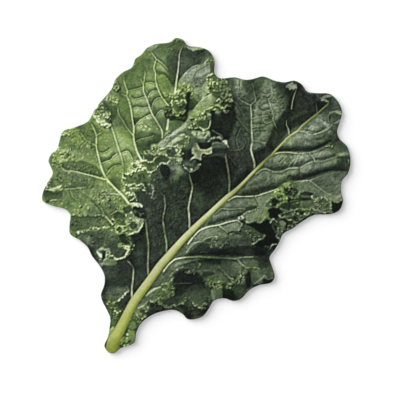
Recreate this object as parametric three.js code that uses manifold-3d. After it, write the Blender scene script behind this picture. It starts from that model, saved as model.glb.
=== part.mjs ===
// A flat table mat cut to the outline of a pair of curly leaves and their stem.
// Two layers, bonded face to face: a printed sheet on top and a rubber backing under it.
// Millimetres, +Z up. The mat lies with its underside on z = 0, its stem at lower left.

import * as THREE from 'three';
import { mergeVertices } from 'three/addons/utils/BufferGeometryUtils.js';
import Module from 'manifold-3d';

const wasm = await Module();
wasm.setup();

// Driving dimensions.
const BACKING_THICKNESS = 3.0;
const SHEET_THICKNESS = 2.0;
const EDGE_INSET = 2.4;         // how far in from the cut the sheet's pressed edge begins
const EDGE_DROP = 1.6;          // how far the pressed edge falls
const EDGE_STEPS = 3;           // flats round the pressed edge
const STEPS_PER_SPAN = 3;       // straight cuts between two neighbouring points of the outline
const CUT_ALLOWANCE = 1.0;      // spare depth below the sheet, trimmed off with its lower edge

// The cutting line: the crests and hollows of its waves, clockwise from the stem's cut end.
const CUTTING_LINE = [
  // stem, left side
  [-101, -189], [-106, -187], [-110, -180], [-106, -170], [-104, -159], [-103, -147],
  [-107, -137], [-113, -125], [-114, -118], [-110, -106], [-110, -96],
  // back leaf, up its left side
  [-115, -85], [-125, -72], [-130, -62], [-140, -53], [-151, -46], [-152, -36], [-151, -23],
  [-157, -16], [-172, -12], [-184, -6], [-184, 3], [-178, 16], [-172, 27], [-175, 36],
  [-177, 42], [-173, 51], [-167, 55], [-164, 66], [-160, 77], [-146, 82], [-130, 89],
  [-124, 99], [-119, 107], [-109, 119], [-101, 129], [-97, 139], [-88, 148], [-77, 154],
  [-73, 164], [-66, 169], [-59, 177], [-48, 182], [-32, 184], [-25, 189], [-16, 187],
  // back leaf, its tip and the notch between the leaves
  [-10, 180], [5, 178], [16, 173], [22, 162], [22, 147], [28, 141],
  // front leaf, along its top and down its right side
  [46, 142], [59, 139], [68, 140], [80, 143], [94, 138], [106, 136], [118, 138], [127, 133],
  [133, 125], [145, 123], [160, 122], [170, 113], [175, 100], [172, 88], [169, 76],
  [172, 68], [181, 59], [185, 42], [182, 27], [175, 18], [174, 3], [176, -6],
  // front leaf, back along its lower side to the stem
  [171, -18], [160, -22], [142, -23], [127, -31], [116, -39], [104, -46], [100, -55],
  [94, -65], [88, -74], [91, -85], [94, -97], [90, -104], [76, -107], [64, -113],
  [53, -124], [44, -126], [34, -123], [21, -126], [16, -134], [7, -145], [-10, -148],
  [-16, -142], [-26, -137], [-38, -138], [-53, -143], [-66, -153], [-72, -165],
  [-74, -176], [-82, -180], [-91, -183], [-97, -188],
];

// The outline as a closed smooth curve through those points, sampled into a flat shape.
function matOutline() {
  const knots = CUTTING_LINE.map(([x, y]) => new THREE.Vector3(x, y, 0));
  const curve = new THREE.CatmullRomCurve3(knots, true, 'centripetal');
  const points = curve.getPoints(knots.length * STEPS_PER_SPAN);
  points.pop();
  return new THREE.Shape(points.map((point) => new THREE.Vector2(point.x, point.y)));
}

// A closed geometry as a solid that can be cut.
function solidOf(geometry) {
  const bare = geometry.clone();
  bare.deleteAttribute('normal');
  bare.deleteAttribute('uv');
  const merged = mergeVertices(bare);
  const vertProperties = Float32Array.from(merged.attributes.position.array);
  const triVerts = Uint32Array.from(merged.index.array);
  return new wasm.Manifold(new wasm.Mesh({ numProp: 3, vertProperties, triVerts }));
}

// A solid back to a geometry.
function geometryOf(solid) {
  const mesh = solid.getMesh();
  const geometry = new THREE.BufferGeometry();
  geometry.setAttribute('position', new THREE.BufferAttribute(mesh.vertProperties, 3));
  geometry.setIndex(new THREE.BufferAttribute(mesh.triVerts, 1));
  geometry.computeVertexNormals();
  return geometry;
}

// The printed sheet: its upper edge is pressed round, its lower face is flat on the backing.
// The extrusion rounds both edges alike, so it is made deeper and its lower part is cut away.
function printedSheet(outline) {
  const sides = SHEET_THICKNESS - EDGE_DROP;
  const blank = new THREE.ExtrudeGeometry(outline, {
    depth: sides + CUT_ALLOWANCE,
    bevelEnabled: true,
    bevelThickness: EDGE_DROP,
    bevelSize: EDGE_INSET,
    bevelOffset: -EDGE_INSET,
    bevelSegments: EDGE_STEPS,
    curveSegments: 1,
    steps: 1,
  });
  blank.computeBoundingBox();
  const size = blank.boundingBox.getSize(new THREE.Vector3());
  const centre = blank.boundingBox.getCenter(new THREE.Vector3());
  const waste = new THREE.BoxGeometry(2 * size.x, 2 * size.y, size.z);
  waste.translate(centre.x, centre.y, CUT_ALLOWANCE - size.z / 2);
  const sheet = geometryOf(solidOf(blank).subtract(solidOf(waste)));
  return sheet.translate(0, 0, -CUT_ALLOWANCE);
}

// The backing: a plain slab with straight cut sides.
function backingSlab(outline) {
  return new THREE.ExtrudeGeometry(outline, {
    depth: BACKING_THICKNESS,
    bevelEnabled: false,
    curveSegments: 1,
    steps: 1,
  });
}

const printedVinyl = new THREE.MeshStandardMaterial({
  name: 'printed vinyl',
  color: 0x3f5433,
  roughness: 0.55,
  metalness: 0,
});

const blackRubber = new THREE.MeshStandardMaterial({
  name: 'black rubber',
  color: 0x1c1d1c,
  roughness: 0.85,
  metalness: 0,
});

const outline = matOutline();

const backing = new THREE.Mesh(backingSlab(outline), blackRubber);
backing.name = 'rubber_backing';

const face = new THREE.Mesh(printedSheet(outline), printedVinyl);
face.name = 'printed_face';
face.position.z = BACKING_THICKNESS;

const mat = new THREE.Group();
mat.name = 'leaf_mat';
mat.add(backing, face);

export default mat;
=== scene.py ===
# %% [markdown]
# # A leaf-print table mat, cut to the outline of its picture
#
# The object is a flat mat: a printed vinyl sheet on black rubber, cut along the edge of the
# leaves printed on it. Only two solids carry it, so almost all of its looks are in the print.
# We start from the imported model. It gives the outline, the thickness and the place of
# everything we make, and nothing below changes its size.

import bmesh
import bpy
import numpy as np
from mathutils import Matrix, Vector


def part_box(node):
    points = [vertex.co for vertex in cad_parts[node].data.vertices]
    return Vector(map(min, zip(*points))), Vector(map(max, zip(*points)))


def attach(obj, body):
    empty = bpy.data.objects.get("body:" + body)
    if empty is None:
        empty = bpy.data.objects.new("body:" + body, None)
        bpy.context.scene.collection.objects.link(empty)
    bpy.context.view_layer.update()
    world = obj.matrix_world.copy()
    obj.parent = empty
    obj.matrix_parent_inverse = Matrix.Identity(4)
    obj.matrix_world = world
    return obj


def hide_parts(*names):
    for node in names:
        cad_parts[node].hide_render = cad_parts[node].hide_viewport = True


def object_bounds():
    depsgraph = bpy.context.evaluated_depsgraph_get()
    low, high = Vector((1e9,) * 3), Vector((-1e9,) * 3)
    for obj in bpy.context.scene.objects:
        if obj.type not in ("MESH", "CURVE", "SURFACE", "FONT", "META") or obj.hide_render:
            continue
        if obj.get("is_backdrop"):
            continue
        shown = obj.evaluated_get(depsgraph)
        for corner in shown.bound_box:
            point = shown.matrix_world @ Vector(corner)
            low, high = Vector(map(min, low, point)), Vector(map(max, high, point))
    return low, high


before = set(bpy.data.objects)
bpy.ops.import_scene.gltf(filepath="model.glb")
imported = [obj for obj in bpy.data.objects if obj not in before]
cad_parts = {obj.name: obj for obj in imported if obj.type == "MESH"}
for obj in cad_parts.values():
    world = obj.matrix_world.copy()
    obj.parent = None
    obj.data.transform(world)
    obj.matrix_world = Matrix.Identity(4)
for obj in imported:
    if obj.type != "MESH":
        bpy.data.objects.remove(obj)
CAD_LOW, CAD_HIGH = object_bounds()
SHEET_LOW, SHEET_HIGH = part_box("printed_face")
SEAM_HEIGHT = SHEET_LOW.z
TOP_HEIGHT = SHEET_HIGH.z
mat_size = [round(high - low, 4) for low, high in zip(CAD_LOW, CAD_HIGH)]
print("mat", mat_size, "seam at", round(SEAM_HEIGHT, 4))

# %% [markdown]
# ## The artboard
#
# A printer lays the picture out on a flat artboard before it goes on vinyl. Ours is a grid of
# ink dots held in numpy arrays. One artboard unit is 1.2 mm of mat, x runs to the right and y
# runs down, as in drawing programs. The picture could also be an image file, but a painting
# made by brushes in code stays sharp, small and easy to change. Later each mesh point looks
# up the ink under it.

# %% Artboard grid
UNIT = 0.0012
MIDDLE_X, MIDDLE_Y = 195.75, 195.3
DOT = 0.4
BOARD_LEFT, BOARD_RIGHT = 36.0, 356.0
BOARD_TOP, BOARD_BOTTOM = 32.0, 358.0
COLUMNS = int(round((BOARD_RIGHT - BOARD_LEFT) / DOT)) + 1
ROWS = int(round((BOARD_BOTTOM - BOARD_TOP) / DOT)) + 1
X, Y = np.meshgrid(
    BOARD_LEFT + DOT * np.arange(COLUMNS),
    BOARD_TOP + DOT * np.arange(ROWS),
)
shade = np.full((ROWS, COLUMNS), 118.0)
fresh = np.ones((ROWS, COLUMNS))
pale = np.zeros((ROWS, COLUMNS))
sap = np.zeros((ROWS, COLUMNS))
print("artboard of", COLUMNS, "by", ROWS, "dots")

# %% [markdown]
# The print needs four values at each dot. `shade` is how light the ink is, from 0 to 255.
# `fresh` says how yellow-green the leaf is there, `pale` marks ribs and curled rims, and
# `sap` marks the yellow-green of the stalk. The colours themselves come much later, in the
# material. Next come the helpers that all brushes share: a blur, cloudy noise from a seeded
# generator, and ways to turn a few points into a smooth stroke or a closed patch.

# %% Cloudy noise
FREQ_Y = np.fft.fftfreq(ROWS)[:, None]
FREQ_X = np.fft.rfftfreq(COLUMNS)[None, :]


def blur(field, radius):
    """Soften a field by a radius given in artboard units."""
    falloff = np.exp(-2 * (np.pi * radius / DOT) ** 2 * (FREQ_X**2 + FREQ_Y**2))
    return np.fft.irfft2(np.fft.rfft2(field) * falloff, s=field.shape)


def clouds(seed, radius):
    """Soft random clouds with an average of 0 and a spread of 1."""
    cloud = blur(np.random.default_rng(seed).standard_normal((ROWS, COLUMNS)), radius)
    return cloud / cloud.std()


CLOUD_RADII = (0.7, 1.1, 1.7, 2.6, 4.0)
CLOUDS = {radius: clouds(200 + i, radius) for i, radius in enumerate(CLOUD_RADII)}


def cloud(radius, seed, area):
    """One of the ready clouds, moved by a seeded step, read inside an area."""
    draw = np.random.default_rng(seed)
    down, across = int(draw.integers(0, ROWS)), int(draw.integers(0, COLUMNS))
    return np.roll(CLOUDS[radius], (down, across), (0, 1))[area]


print("clouds with radii", CLOUD_RADII)

# %% Strokes and patches


def ease(start, end, value):
    """A soft step from 0 at start to 1 at end."""
    t = np.clip((value - start) / (end - start), 0, 1)
    return t * t * (3 - 2 * t)


def trace(text):
    """Points written as 'x,y x,y' become an array."""
    return np.array([[float(v) for v in pair.split(",")] for pair in text.split()])


def flow(points, steps=4, closed=False):
    """A smooth line through the points, by Catmull-Rom."""
    if len(points) < 3:
        return points
    if closed:
        ends = np.vstack([points[-1:], points, points[:2]])
    else:
        ends = np.vstack([2 * points[0] - points[1], points, 2 * points[-1] - points[-2]])
    t = np.linspace(0, 1, steps, endpoint=False)[:, None]
    spans = []
    for a, b, c, d in zip(ends, ends[1:], ends[2:], ends[3:]):
        curve = 2 * b + (c - a) * t + (2 * a - 5 * b + 4 * c - d) * t**2
        spans.append(0.5 * (curve + (3 * b - a - 3 * c + d) * t**3))
    if not closed:
        spans.append(points[-1:])
    return np.vstack(spans)


def area_round(points, reach):
    """The rows and columns of the artboard within reach of the points."""
    left, top = points.min(0) - reach
    right, bottom = points.max(0) + reach
    column = int(max(0, (left - BOARD_LEFT) / DOT)), int((right - BOARD_LEFT) / DOT) + 2
    row = int(max(0, (top - BOARD_TOP) / DOT)), int((bottom - BOARD_TOP) / DOT) + 2
    return slice(*row), slice(*column)


def along(line, reach):
    """For each dot near a line: distance, place along it from 0 to 1, and side (+1 right)."""
    area = area_round(line, reach)
    x, y = X[area], Y[area]
    steps = np.diff(line, axis=0)
    lengths = np.hypot(steps[:, 0], steps[:, 1]) + 1e-9
    starts = np.concatenate([[0], np.cumsum(lengths)])
    distance = np.full(x.shape, 1e9)
    place = np.zeros(x.shape)
    side = np.zeros(x.shape)
    for (px, py), (sx, sy), length, start in zip(line, steps, lengths, starts):
        t = np.clip(((x - px) * sx + (y - py) * sy) / length**2, 0, 1)
        gap = np.hypot(x - px - t * sx, y - py - t * sy)
        nearer = gap < distance
        distance = np.where(nearer, gap, distance)
        place = np.where(nearer, (start + t * length) / starts[-1], place)
        side = np.where(nearer, np.sign(sx * (y - py) - sy * (x - px)), side)
    return area, distance, place, side


def inside(ring, area):
    """True for the dots that lie inside a closed ring of points."""
    x, y = X[area], Y[area]
    hit = np.zeros(x.shape, bool)
    for (ax, ay), (bx, by) in zip(ring, np.roll(ring, -1, axis=0)):
        if ay != by:
            hit ^= ((ay > y) != (by > y)) & (x < (bx - ax) * (y - ay) / (by - ay) + ax)
    return hit


def depth_in(ring, reach):
    """Distance from the edge of a closed ring: positive inside, negative outside."""
    area, distance, place, side = along(np.vstack([ring, ring[:1]]), reach)
    return area, np.where(inside(ring, area), distance, -distance)


def patch(text, feather, smooth=True):
    """A closed soft-edged patch as an area and a mask from 0 to 1."""
    ring = trace(text)
    if smooth:
        ring = flow(ring, 3, closed=True)
    area, depth = depth_in(ring, feather * 2)
    return area, ease(-feather, feather, depth)


def blend(field, area, mask, value):
    """Lay a value over a field through a mask."""
    field[area] += (value - field[area]) * mask


print("stroke helpers ready")

# %% [markdown]
# ## Base colours of the two leaves
#
# The picture shows two curly leaves. A young yellow-green leaf lies behind, on the left, and
# an older grey-green leaf lies on top with its thick rib running up to the right. Laying flat
# washes first and working down to small marks last is how a painter would do it, and it keeps
# each later layer simple.

# %% Front leaf and back leaf
FRONT_LEAF = (
    "213,74 208,88 197,103 187,120 172,133 156,146 140,155 124,168 121,182 128,198 134,206 143,219 "
    "138,232 128,240 134,248 125,257 112,262 98,268 98,300 106,330 100,350 112,358 150,350 220,330 "
    "300,300 356,250 356,70 260,68"
)
front_area, front_mask = patch(FRONT_LEAF, 1.5, smooth=False)
blend(fresh, front_area, front_mask, 0.1)
blend(shade, front_area, front_mask, 72)
print("front leaf covers", round(float(front_mask.mean()), 2), "of its area")

# %% [markdown]
# ## Brushes for light and shade
#
# A glaze fills a patch evenly, a spray is an airbrush stroke, and a fold is a stroke that is
# soft on one side and crisp on the other, like the shadow beside a raised vein. `fold_below`
# is soft on the right-hand side of its direction, and `fold_above` on the left. A painting
# needs hundreds of strokes, so we don't write a call for each. `paint` reads them from a
# recipe, one stroke after another: the brush, its shade, its reach in artboard units, its
# strength, and then its points. `ripen` takes a freshness in place of the shade, and `dodge`
# takes a factor.

# %% The brushes
FALLOFF = 1.2


def glaze(points, tint, feather, strength):
    """Fill a closed patch with an even shade."""
    area, mask = patch(points, feather)
    blend(shade, area, mask * strength, tint)


def spray(points, tint, reach, strength):
    """A soft airbrush stroke."""
    area, distance, place, side = along(flow(trace(points)), reach * 2)
    blend(shade, area, np.exp(-FALLOFF * (distance / reach) ** 2) * strength, tint)


def fold(points, tint, reach, strength, soft_side):
    """A stroke with one crisp and one soft side."""
    area, distance, place, side = along(flow(trace(points)), reach * 2)
    across = distance * side * soft_side
    soft = np.exp(-FALLOFF * (np.maximum(across, 0) / reach) ** 2)
    mask = np.where(across >= 0, soft, np.exp(-(across**2)))
    taper = ease(0, 0.12, place) * ease(1, 0.88, place)
    blend(shade, area, mask * strength * (0.25 + 0.75 * taper), tint)


def fold_below(points, tint, reach, strength):
    """A fold whose shade fades to the right of its direction."""
    fold(points, tint, reach, strength, 1)


def fold_above(points, tint, reach, strength):
    """A fold whose shade fades to the left of its direction."""
    fold(points, tint, reach, strength, -1)


def ripen(points, value, feather, strength):
    """Turn a patch towards young green (1) or old grey-green (0)."""
    area, mask = patch(points, feather)
    blend(fresh, area, mask * strength, value)


def line(points, tint, width, strength):
    """A thin crisp line."""
    area, distance, place, side = along(flow(trace(points)), 4)
    blend(shade, area, (1 - ease(width / 2 - 0.3, width / 2 + 0.5, distance)) * strength, tint)


def dodge(points, factor, feather, strength):
    """Lighten a patch (factor over 1) or burn it darker (under 1), keeping its detail."""
    area, mask = patch(points, feather)
    shade[area] *= 1 + (factor - 1) * mask * strength


def tuck(points, tint, reach, strength):
    """The edge of a swelling: light below a thin pale line, dark above it."""
    fold_below(points, tint * 1.08, reach, strength)
    fold_above(points, tint * 0.42, reach * 0.6, strength)
    line(points, min(tint + 40, 215), 0.7, strength * 0.9)


def paint(recipe):
    """Lay down strokes written one after another as 'brush shade reach strength x,y x,y ...'."""
    strokes = []
    for word in recipe.split():
        if word.isidentifier():
            strokes.append([word])
        else:
            strokes[-1].append(word)
    for name, tint, reach, strength, *points in strokes:
        BRUSHES[name](" ".join(points), float(tint), float(reach), float(strength))
    print(len(strokes), "strokes, shade now averages", round(float(shade.mean()), 1))


BRUSHES = {}
for brush in (glaze, spray, fold_below, fold_above, ripen, line, dodge, tuck):
    BRUSHES[brush.__name__] = brush
print(len(BRUSHES), "brushes in the tray")


# %% [markdown]
# ### Right of the rib
#
# Side veins divide this half of the leaf into long swollen panels. Each panel is light just
# below its upper vein and sinks into a dark fold right above the next vein.

# %% Panels right of the rib
PANELS = """
glaze 84 2 1 262,163 285,140 305,124 328,104 341,112 337,133 350,155 347,172 340,188 342,205 318,214 285,230
  272,250 273,280 250,288 235,300 205,310 190,318 150,312 140,318 133,335 128,322 150,284 190,236 230,197
glaze 112 2.5 .95 281,148 292,137 306,126 322,112 333,118 334,128 325,142 316,146 300,146 288,148
spray 122 6 .7 290,139 304,131 318,120
fold_above 34 4.5 .95 274,150.5 285,149.5 300,149.5 312,149 322,145 331,139
spray 62 2.5 .8 300,132 308,131 316,132 324,127
spray 45 3.5 .8 334,142 338,136 336,128
spray 55 2.2 .8 328,122 330,114 334,110
glaze 112 1.8 .95 264,165 270,157 280,154 300,154.5 315,152 332,146 346,150 349,156 338,155 322,158 306,161
  298,166 288,166 276,169
fold_above 45 4 .9 263,168 271,168.5 281,168.5 290,164.5 298,164.5 305,160
fold_above 62 2.2 .9 305,160.5 315,158.5 325,157.5 337,153.5
spray 70 2 .7 284,158 281,165
spray 85 2 .6 292,162 298,158
glaze 112 2 .95 246,184 255,175 262,170.5 270,172 280,172.5 292,169 303,168 312,163.5 325,162.5 337,158.5
  342,160 332,168 318,171 305,174 290,177 275,183 255,190 244,193 238,193
spray 128 3.5 .7 300,170 316,165 334,161
spray 70 3.5 .9 338,165 346,160
fold_above 33 5 .95 290,180 300,178 312,175 325,171 335,168.5 347,167
fold_above 42 5.5 .9 238,194.5 248,193.5 258,191 268,188 279,184.5 288,179
spray 72 2.5 .6 252,183 262,180 270,181
glaze 100 1.5 .95 296,183 309,181 318,178 334,173.5 348,173 341,181 341,195 332,198 318,196 305,192
fold_below 122 3.5 .8 312,186 320,190.5 330,195.5 340,196
"""
paint(PANELS)

# %% Lower panels right of the rib
LOWER_PANELS = """
glaze 100 1.5 .9 222,206 232,198.5 255,198 268,194 276,192 262,203 246,207 232,206
spray 115 2.5 .6 214,216 226,213 240,211.5
fold_above 42 4 .92 204,224.5 213,222.5 224,219 236,216 246,212
spray 104 4 .8 205,232 218,229
spray 122 3 .8 188,247 194,240 202,238
spray 60 2 .6 205,238 214,240 224,236
spray 45 1.6 .8 228,232 240,231
fold_above 34 7 .95 184,255 196,253.5 215,253 235,253.5 255,252
glaze 76 2 .95 160,280 172,262 185,259.5 210,259 235,261 262,261 270,270 272,280 252,286 235,285 205,282
  180,272 168,282
spray 110 3 .8 172,266 182,262 196,260.5
spray 48 2.5 .8 190,266 205,262 215,262
glaze 34 2 .95 172,275 182,270 196,276 203,284 196,288 176,290 171,284
glaze 52 3 .8 168,290 180,288 196,290 206,288 208,300 203,306 186,306 172,306 164,300
glaze 52 2 .8 205,284 240,288 236,299 212,299 206,305 200,300
glaze 44 1.5 .9 140,318 150,308 158,304 178,307 186,313 190,317 206,312 208,302 204,296 196,304 182,304
  166,303 150,302 136,312
"""
paint(LOWER_PANELS)

# %% [markdown]
# ### Left of the rib
#
# This half lies in the shade of the curly leaf edge above it, and turns light again only in
# the upper middle.

# %% Shaded half and upper middle
SHADED_HALF = """
glaze 50 2 1 128,200 150,180 180,176 196,168 226,160 250,168 244,178 200,219 168,252 134,296 112,330 104,340
  108,310 102,295 106,275 100,266 112,262 126,258 136,246 130,240 142,232 145,219
spray 48 7 .7 150,235 150,262 142,285
spray 40 5 .8 136,240 133,252 128,262
spray 36 7 .9 202,172 212,162 220,170 206,186
spray 38 7 .7 176,176 182,190
spray 62 8 .7 112,292 118,284
glaze 52 2 .9 226,140 232,120 248,110 250,160 252,166 232,186 229,170
spray 44 5 .7 240,158 246,162
glaze 32 2 .95 208,108 222,110 232,104 236,120 228,138 214,142 208,128
glaze 60 3 .8 232,122 248,118 249,146 240,150 230,140
glaze 104 2.5 .95 252,84 262,78 278,84 284,96 286,106 278,116 270,130 262,146 252,148 252,120 254,100
spray 120 6 .7 272,92 278,100 280,108
spray 82 4 .8 254,90 258,98
glaze 36 2 .95 284,86 300,84 303,91 314,95 330,96 330,101 318,110 302,123 288,132 272,150 260,161 254,163
  254,150 264,146 272,130 280,116 287,106 288,98
spray 58 3 .7 280,86 284,90
glaze 66 1.5 .9 318,93 333,95 340,106 341,120 337,134 330,130 328,112 326,102 316,100
spray 130 1.4 .8 330,112 341,113
spray 130 1.2 .7 337,122 341,119
"""
paint(SHADED_HALF)

# %% [markdown]
# ### The young leaf behind
#
# It is lit from the upper left, so it is bright and soft. Valleys between the veins are
# darker. At its right side the front leaf rolls over and shows its pale underside in bands.

# %% Light and shade of the young leaf
YOUNG_LEAF = """
glaze 100 3 .9 56,134 92,120 97,150 92,156 70,150 54,158
glaze 74 2 .95 62,159 75,159 88,161 95,164 101,173 99,177 84,173 66,169 58,163
glaze 92 3 .9 58,172 80,174 102,180 107,188 84,187 62,189 56,182
glaze 68 2 .9 44,189 60,189 64,196 58,203 46,201
spray 50 2 .9 52,181 57,183
spray 44 1.6 .9 47,201 51,200
spray 62 1.4 .9 88,197 94,202 99,208 102,212
glaze 76 1.6 .95 72,215 88,215.5 103,216 112,224 100,227 84,230 76,232 69,228
spray 84 4 .8 119,86 119,94
spray 92 6 .8 121,106 121,118 126,126
spray 100 7 .8 136,62 133,74 136,82
spray 84 3 .7 141,60 142,72
glaze 80 3 .9 138,132 150,130 160,134 160,142 150,150 142,156 138,148
spray 96 6 .8 152,60 162,52
spray 74 6 .9 170,50 178,52
glaze 60 2 .9 171,58 180,56 192,58 200,62 190,68 182,78 177,84 172,78
spray 86 3 .9 148,60 150,72
"""
paint(YOUNG_LEAF)

# %% Rolled pale bands
ROLLED_BANDS = """
ripen 0 2 .95 175,88 182,78 189,71 204,63.5 210,64 210,80 213,91 217,95 216,101 199,113 190,122 172,136
  157,146 166,134 184,122 192,108 200,100 190,97 188,88
ripen .25 2 .9 171,58 192,50 206,50 212,56 200,66 182,78 177,84
glaze 58 2 .9 181,48 206,49 212,56 207,62 196,66 190,68 182,72 180,60
glaze 154 .8 .9 201.5,87 206,81.5 209,80.5 209,89 205,95.5 202,98.5
glaze 88 1.6 .9 170,122 178,120 182,124 176,130 170,132
glaze 148 1.2 .95 156,146 164,137.5 174,131.5 183,124.5 187,117 193,108 199,102 206,97 213,91.5 217,95
  216,101 209,106 203,110 199,113 195,118 190,122 186,127 180,131 172,136 164,143
glaze 46 1 .9 167,86 177,97 186,98 188,108 182,116 174,121 167,119 164,112 168,98
"""
paint(ROLLED_BANDS)

# %% [markdown]
# ## Swollen cells
#
# Between its smallest veins a kale leaf swells into little cushions. A grid of jittered
# centres gives each dot its nearest centre, which makes such cells. Each cell is lighter on
# its upper left side, has a thin pale line round it, and is a little lighter or darker than
# its neighbours.

# %% Jittered cells
LIGHT_X, LIGHT_Y = 0.6, 0.8


def facing_light(x, y):
    """How far a slope faces the painted light, which comes from the upper left."""
    return -(x * LIGHT_X + y * LIGHT_Y)


def cells(area, seed, size, angle=0.0, stretch=1.0, warp=1.5):
    """Distance to the cell's edge, offset from its middle, and a random value per cell."""
    draw = np.random.default_rng(seed)
    cos, sin = np.cos(angle), np.sin(angle)
    x = X[area] + (cloud(2.6, seed + 1, area) * 0.5 + cloud(4.0, seed + 3, area)) * warp
    y = Y[area] + (cloud(2.6, seed + 2, area) * 0.5 + cloud(4.0, seed + 4, area)) * warp
    u = (x * cos + y * sin) / (size * stretch)
    v = (y * cos - x * sin) / size
    jitter = draw.random((2, 300, 300))
    values = draw.random((300, 300))
    column, row = np.floor(u).astype(int), np.floor(v).astype(int)
    nearest = np.full(u.shape, 9.0)
    second = np.full(u.shape, 9.0)
    off_u, off_v, value = np.zeros(u.shape), np.zeros(u.shape), np.zeros(u.shape)
    for i in (-1, 0, 1):
        for j in (-1, 0, 1):
            c, r = (column + i) % 300, (row + j) % 300
            du = u - (column + i + 0.12 + 0.76 * jitter[0, r, c])
            dv = v - (row + j + 0.12 + 0.76 * jitter[1, r, c])
            distance = np.hypot(du, dv)
            closer = distance < nearest
            second = np.where(closer, nearest, np.minimum(second, distance))
            nearest = np.where(closer, distance, nearest)
            off_u, off_v = np.where(closer, du, off_u), np.where(closer, dv, off_v)
            value = np.where(closer, values[r, c], value)
    edge = (second - nearest) * size * 0.8
    return edge, off_u * stretch * cos - off_v * sin, off_u * sin + off_v * cos, value


def swell(points, feather, seed, size, depth, line, angle=0.0, stretch=1.0, warp=1.5):
    """Emboss a patch with swollen cells."""
    area, mask = patch(points, feather)
    edge, off_x, off_y, value = cells(area, seed, size, angle, stretch, warp)
    lit = facing_light(off_x, off_y)
    relief = depth * np.clip(lit * 1.7 + 0.15, -1, 1) + (value - 0.5) * depth * 0.6
    crease = np.exp(-(((edge - 1.3) / 0.9) ** 2)) * (lit < 0.1)
    change = relief * ease(0, 1.6, edge) + line * np.exp(-((edge / 0.6) ** 2))
    change = change - 0.5 * depth * crease
    shade[area] += mask * change * (np.maximum(shade[area], 1) / 100) ** 0.7


def net(points, feather, seed, size, amount):
    """Draw only the pale lines between small cells."""
    area, mask = patch(points, feather)
    edge, off_x, off_y, value = cells(area, seed, size, warp=1.0)
    shade[area] += mask * amount * np.exp(-((edge / 0.55) ** 2)) * (0.5 + value)


# %% Swollen and netted patches
BOARD = (slice(None), slice(None))
mottle = 3 * clouds(11, 1.0) + 3.5 * clouds(12, 2.4) + 3 * clouds(13, 5.5) + 1.5 * clouds(14, 0.5)
shade += mottle * (0.5 + shade / 160)
SWELLINGS = [
    ("251,86 262,80 277,86 284,98 284,108 276,118 270,130 262,146 253,150 252,120",
     2, 21, 8.5, 22, 20, 0.25, 1.15, 1.4),
    ("228,84 249,84 249,160 236,180 228,160", 2, 22, 9, 8, 14, 0.5, 1.3),
    ("281,148 292,137 306,126 322,112 333,118 334,128 325,142 316,146 300,146", 2, 23, 8, 16, 8, 0.5, 1.6),
    ("264,165 270,157 300,154 332,148 346,152 338,156 322,159 306,162 298,166",
     1.5, 24, 9, 14, 10, -0.2, 1.5),
    ("242,192 262,171 292,169 312,164 337,159 342,161 318,171 290,177 262,190",
     1.5, 25, 9, 14, 10, -0.3, 1.8),
    ("186,245 204,230 236,222 238,230 250,244 210,250", 2, 26, 7, 16, 10, -0.4, 1.6),
    ("160,280 172,262 210,259 262,261 272,280 235,285 190,270", 2, 27, 8, 10, 8, 0.3, 1.6),
    ("96,125 112,95 130,70 152,50 172,60 172,90 164,110 150,126 134,150 120,176 104,176 97,150",
     3, 31, 9, 5, 4, -1.2, 1.3),
    ("60,135 90,125 96,150 100,170 60,168 52,165", 3, 32, 6, 7, 8, 0.2, 1.2),
    ("48,180 104,180 124,198 112,222 72,212 46,200", 3, 33, 5.5, 8, 9, 0.2, 1.2),
    ("150,200 190,180 244,172 200,218 160,255 135,285 112,300 110,275 130,262 146,225",
     3, 34, 6, 7, 6, 1.2, 1.5),
]
for points, *settings in SWELLINGS:
    swell(points, *settings)
NETS = [
    ("52,165 62,132 92,122 112,92 150,50 175,60 165,112 150,128 134,155 120,185 124,200 110,222 "
     "72,212 44,198", 3, 41, 3.0, 14),
    ("264,165 300,154 346,152 342,172 290,180 240,193 222,206 200,224", 2, 42, 3.2, 8),
    ("300,182 346,174 340,196 320,196", 2, 43, 3, 9),
]
for points, *settings in NETS:
    net(points, *settings)
print(len(SWELLINGS), "swollen patches and", len(NETS), "netted ones")

# %% [markdown]
# ## Curly edges
#
# Kale's edge is ruffled: crest after crest, each with a pale crinkled rim that throws a
# shadow on the next. The brush below lays wavy crests across a patch. Just past a crest the
# leaf is dark, then it grows lighter up to the next rim. Small jittered cells near each rim
# give the crinkles. Modelling the ruffles as geometry would be wrong here, because the real
# picture is printed flat.

# %% Ruffle brush


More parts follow.
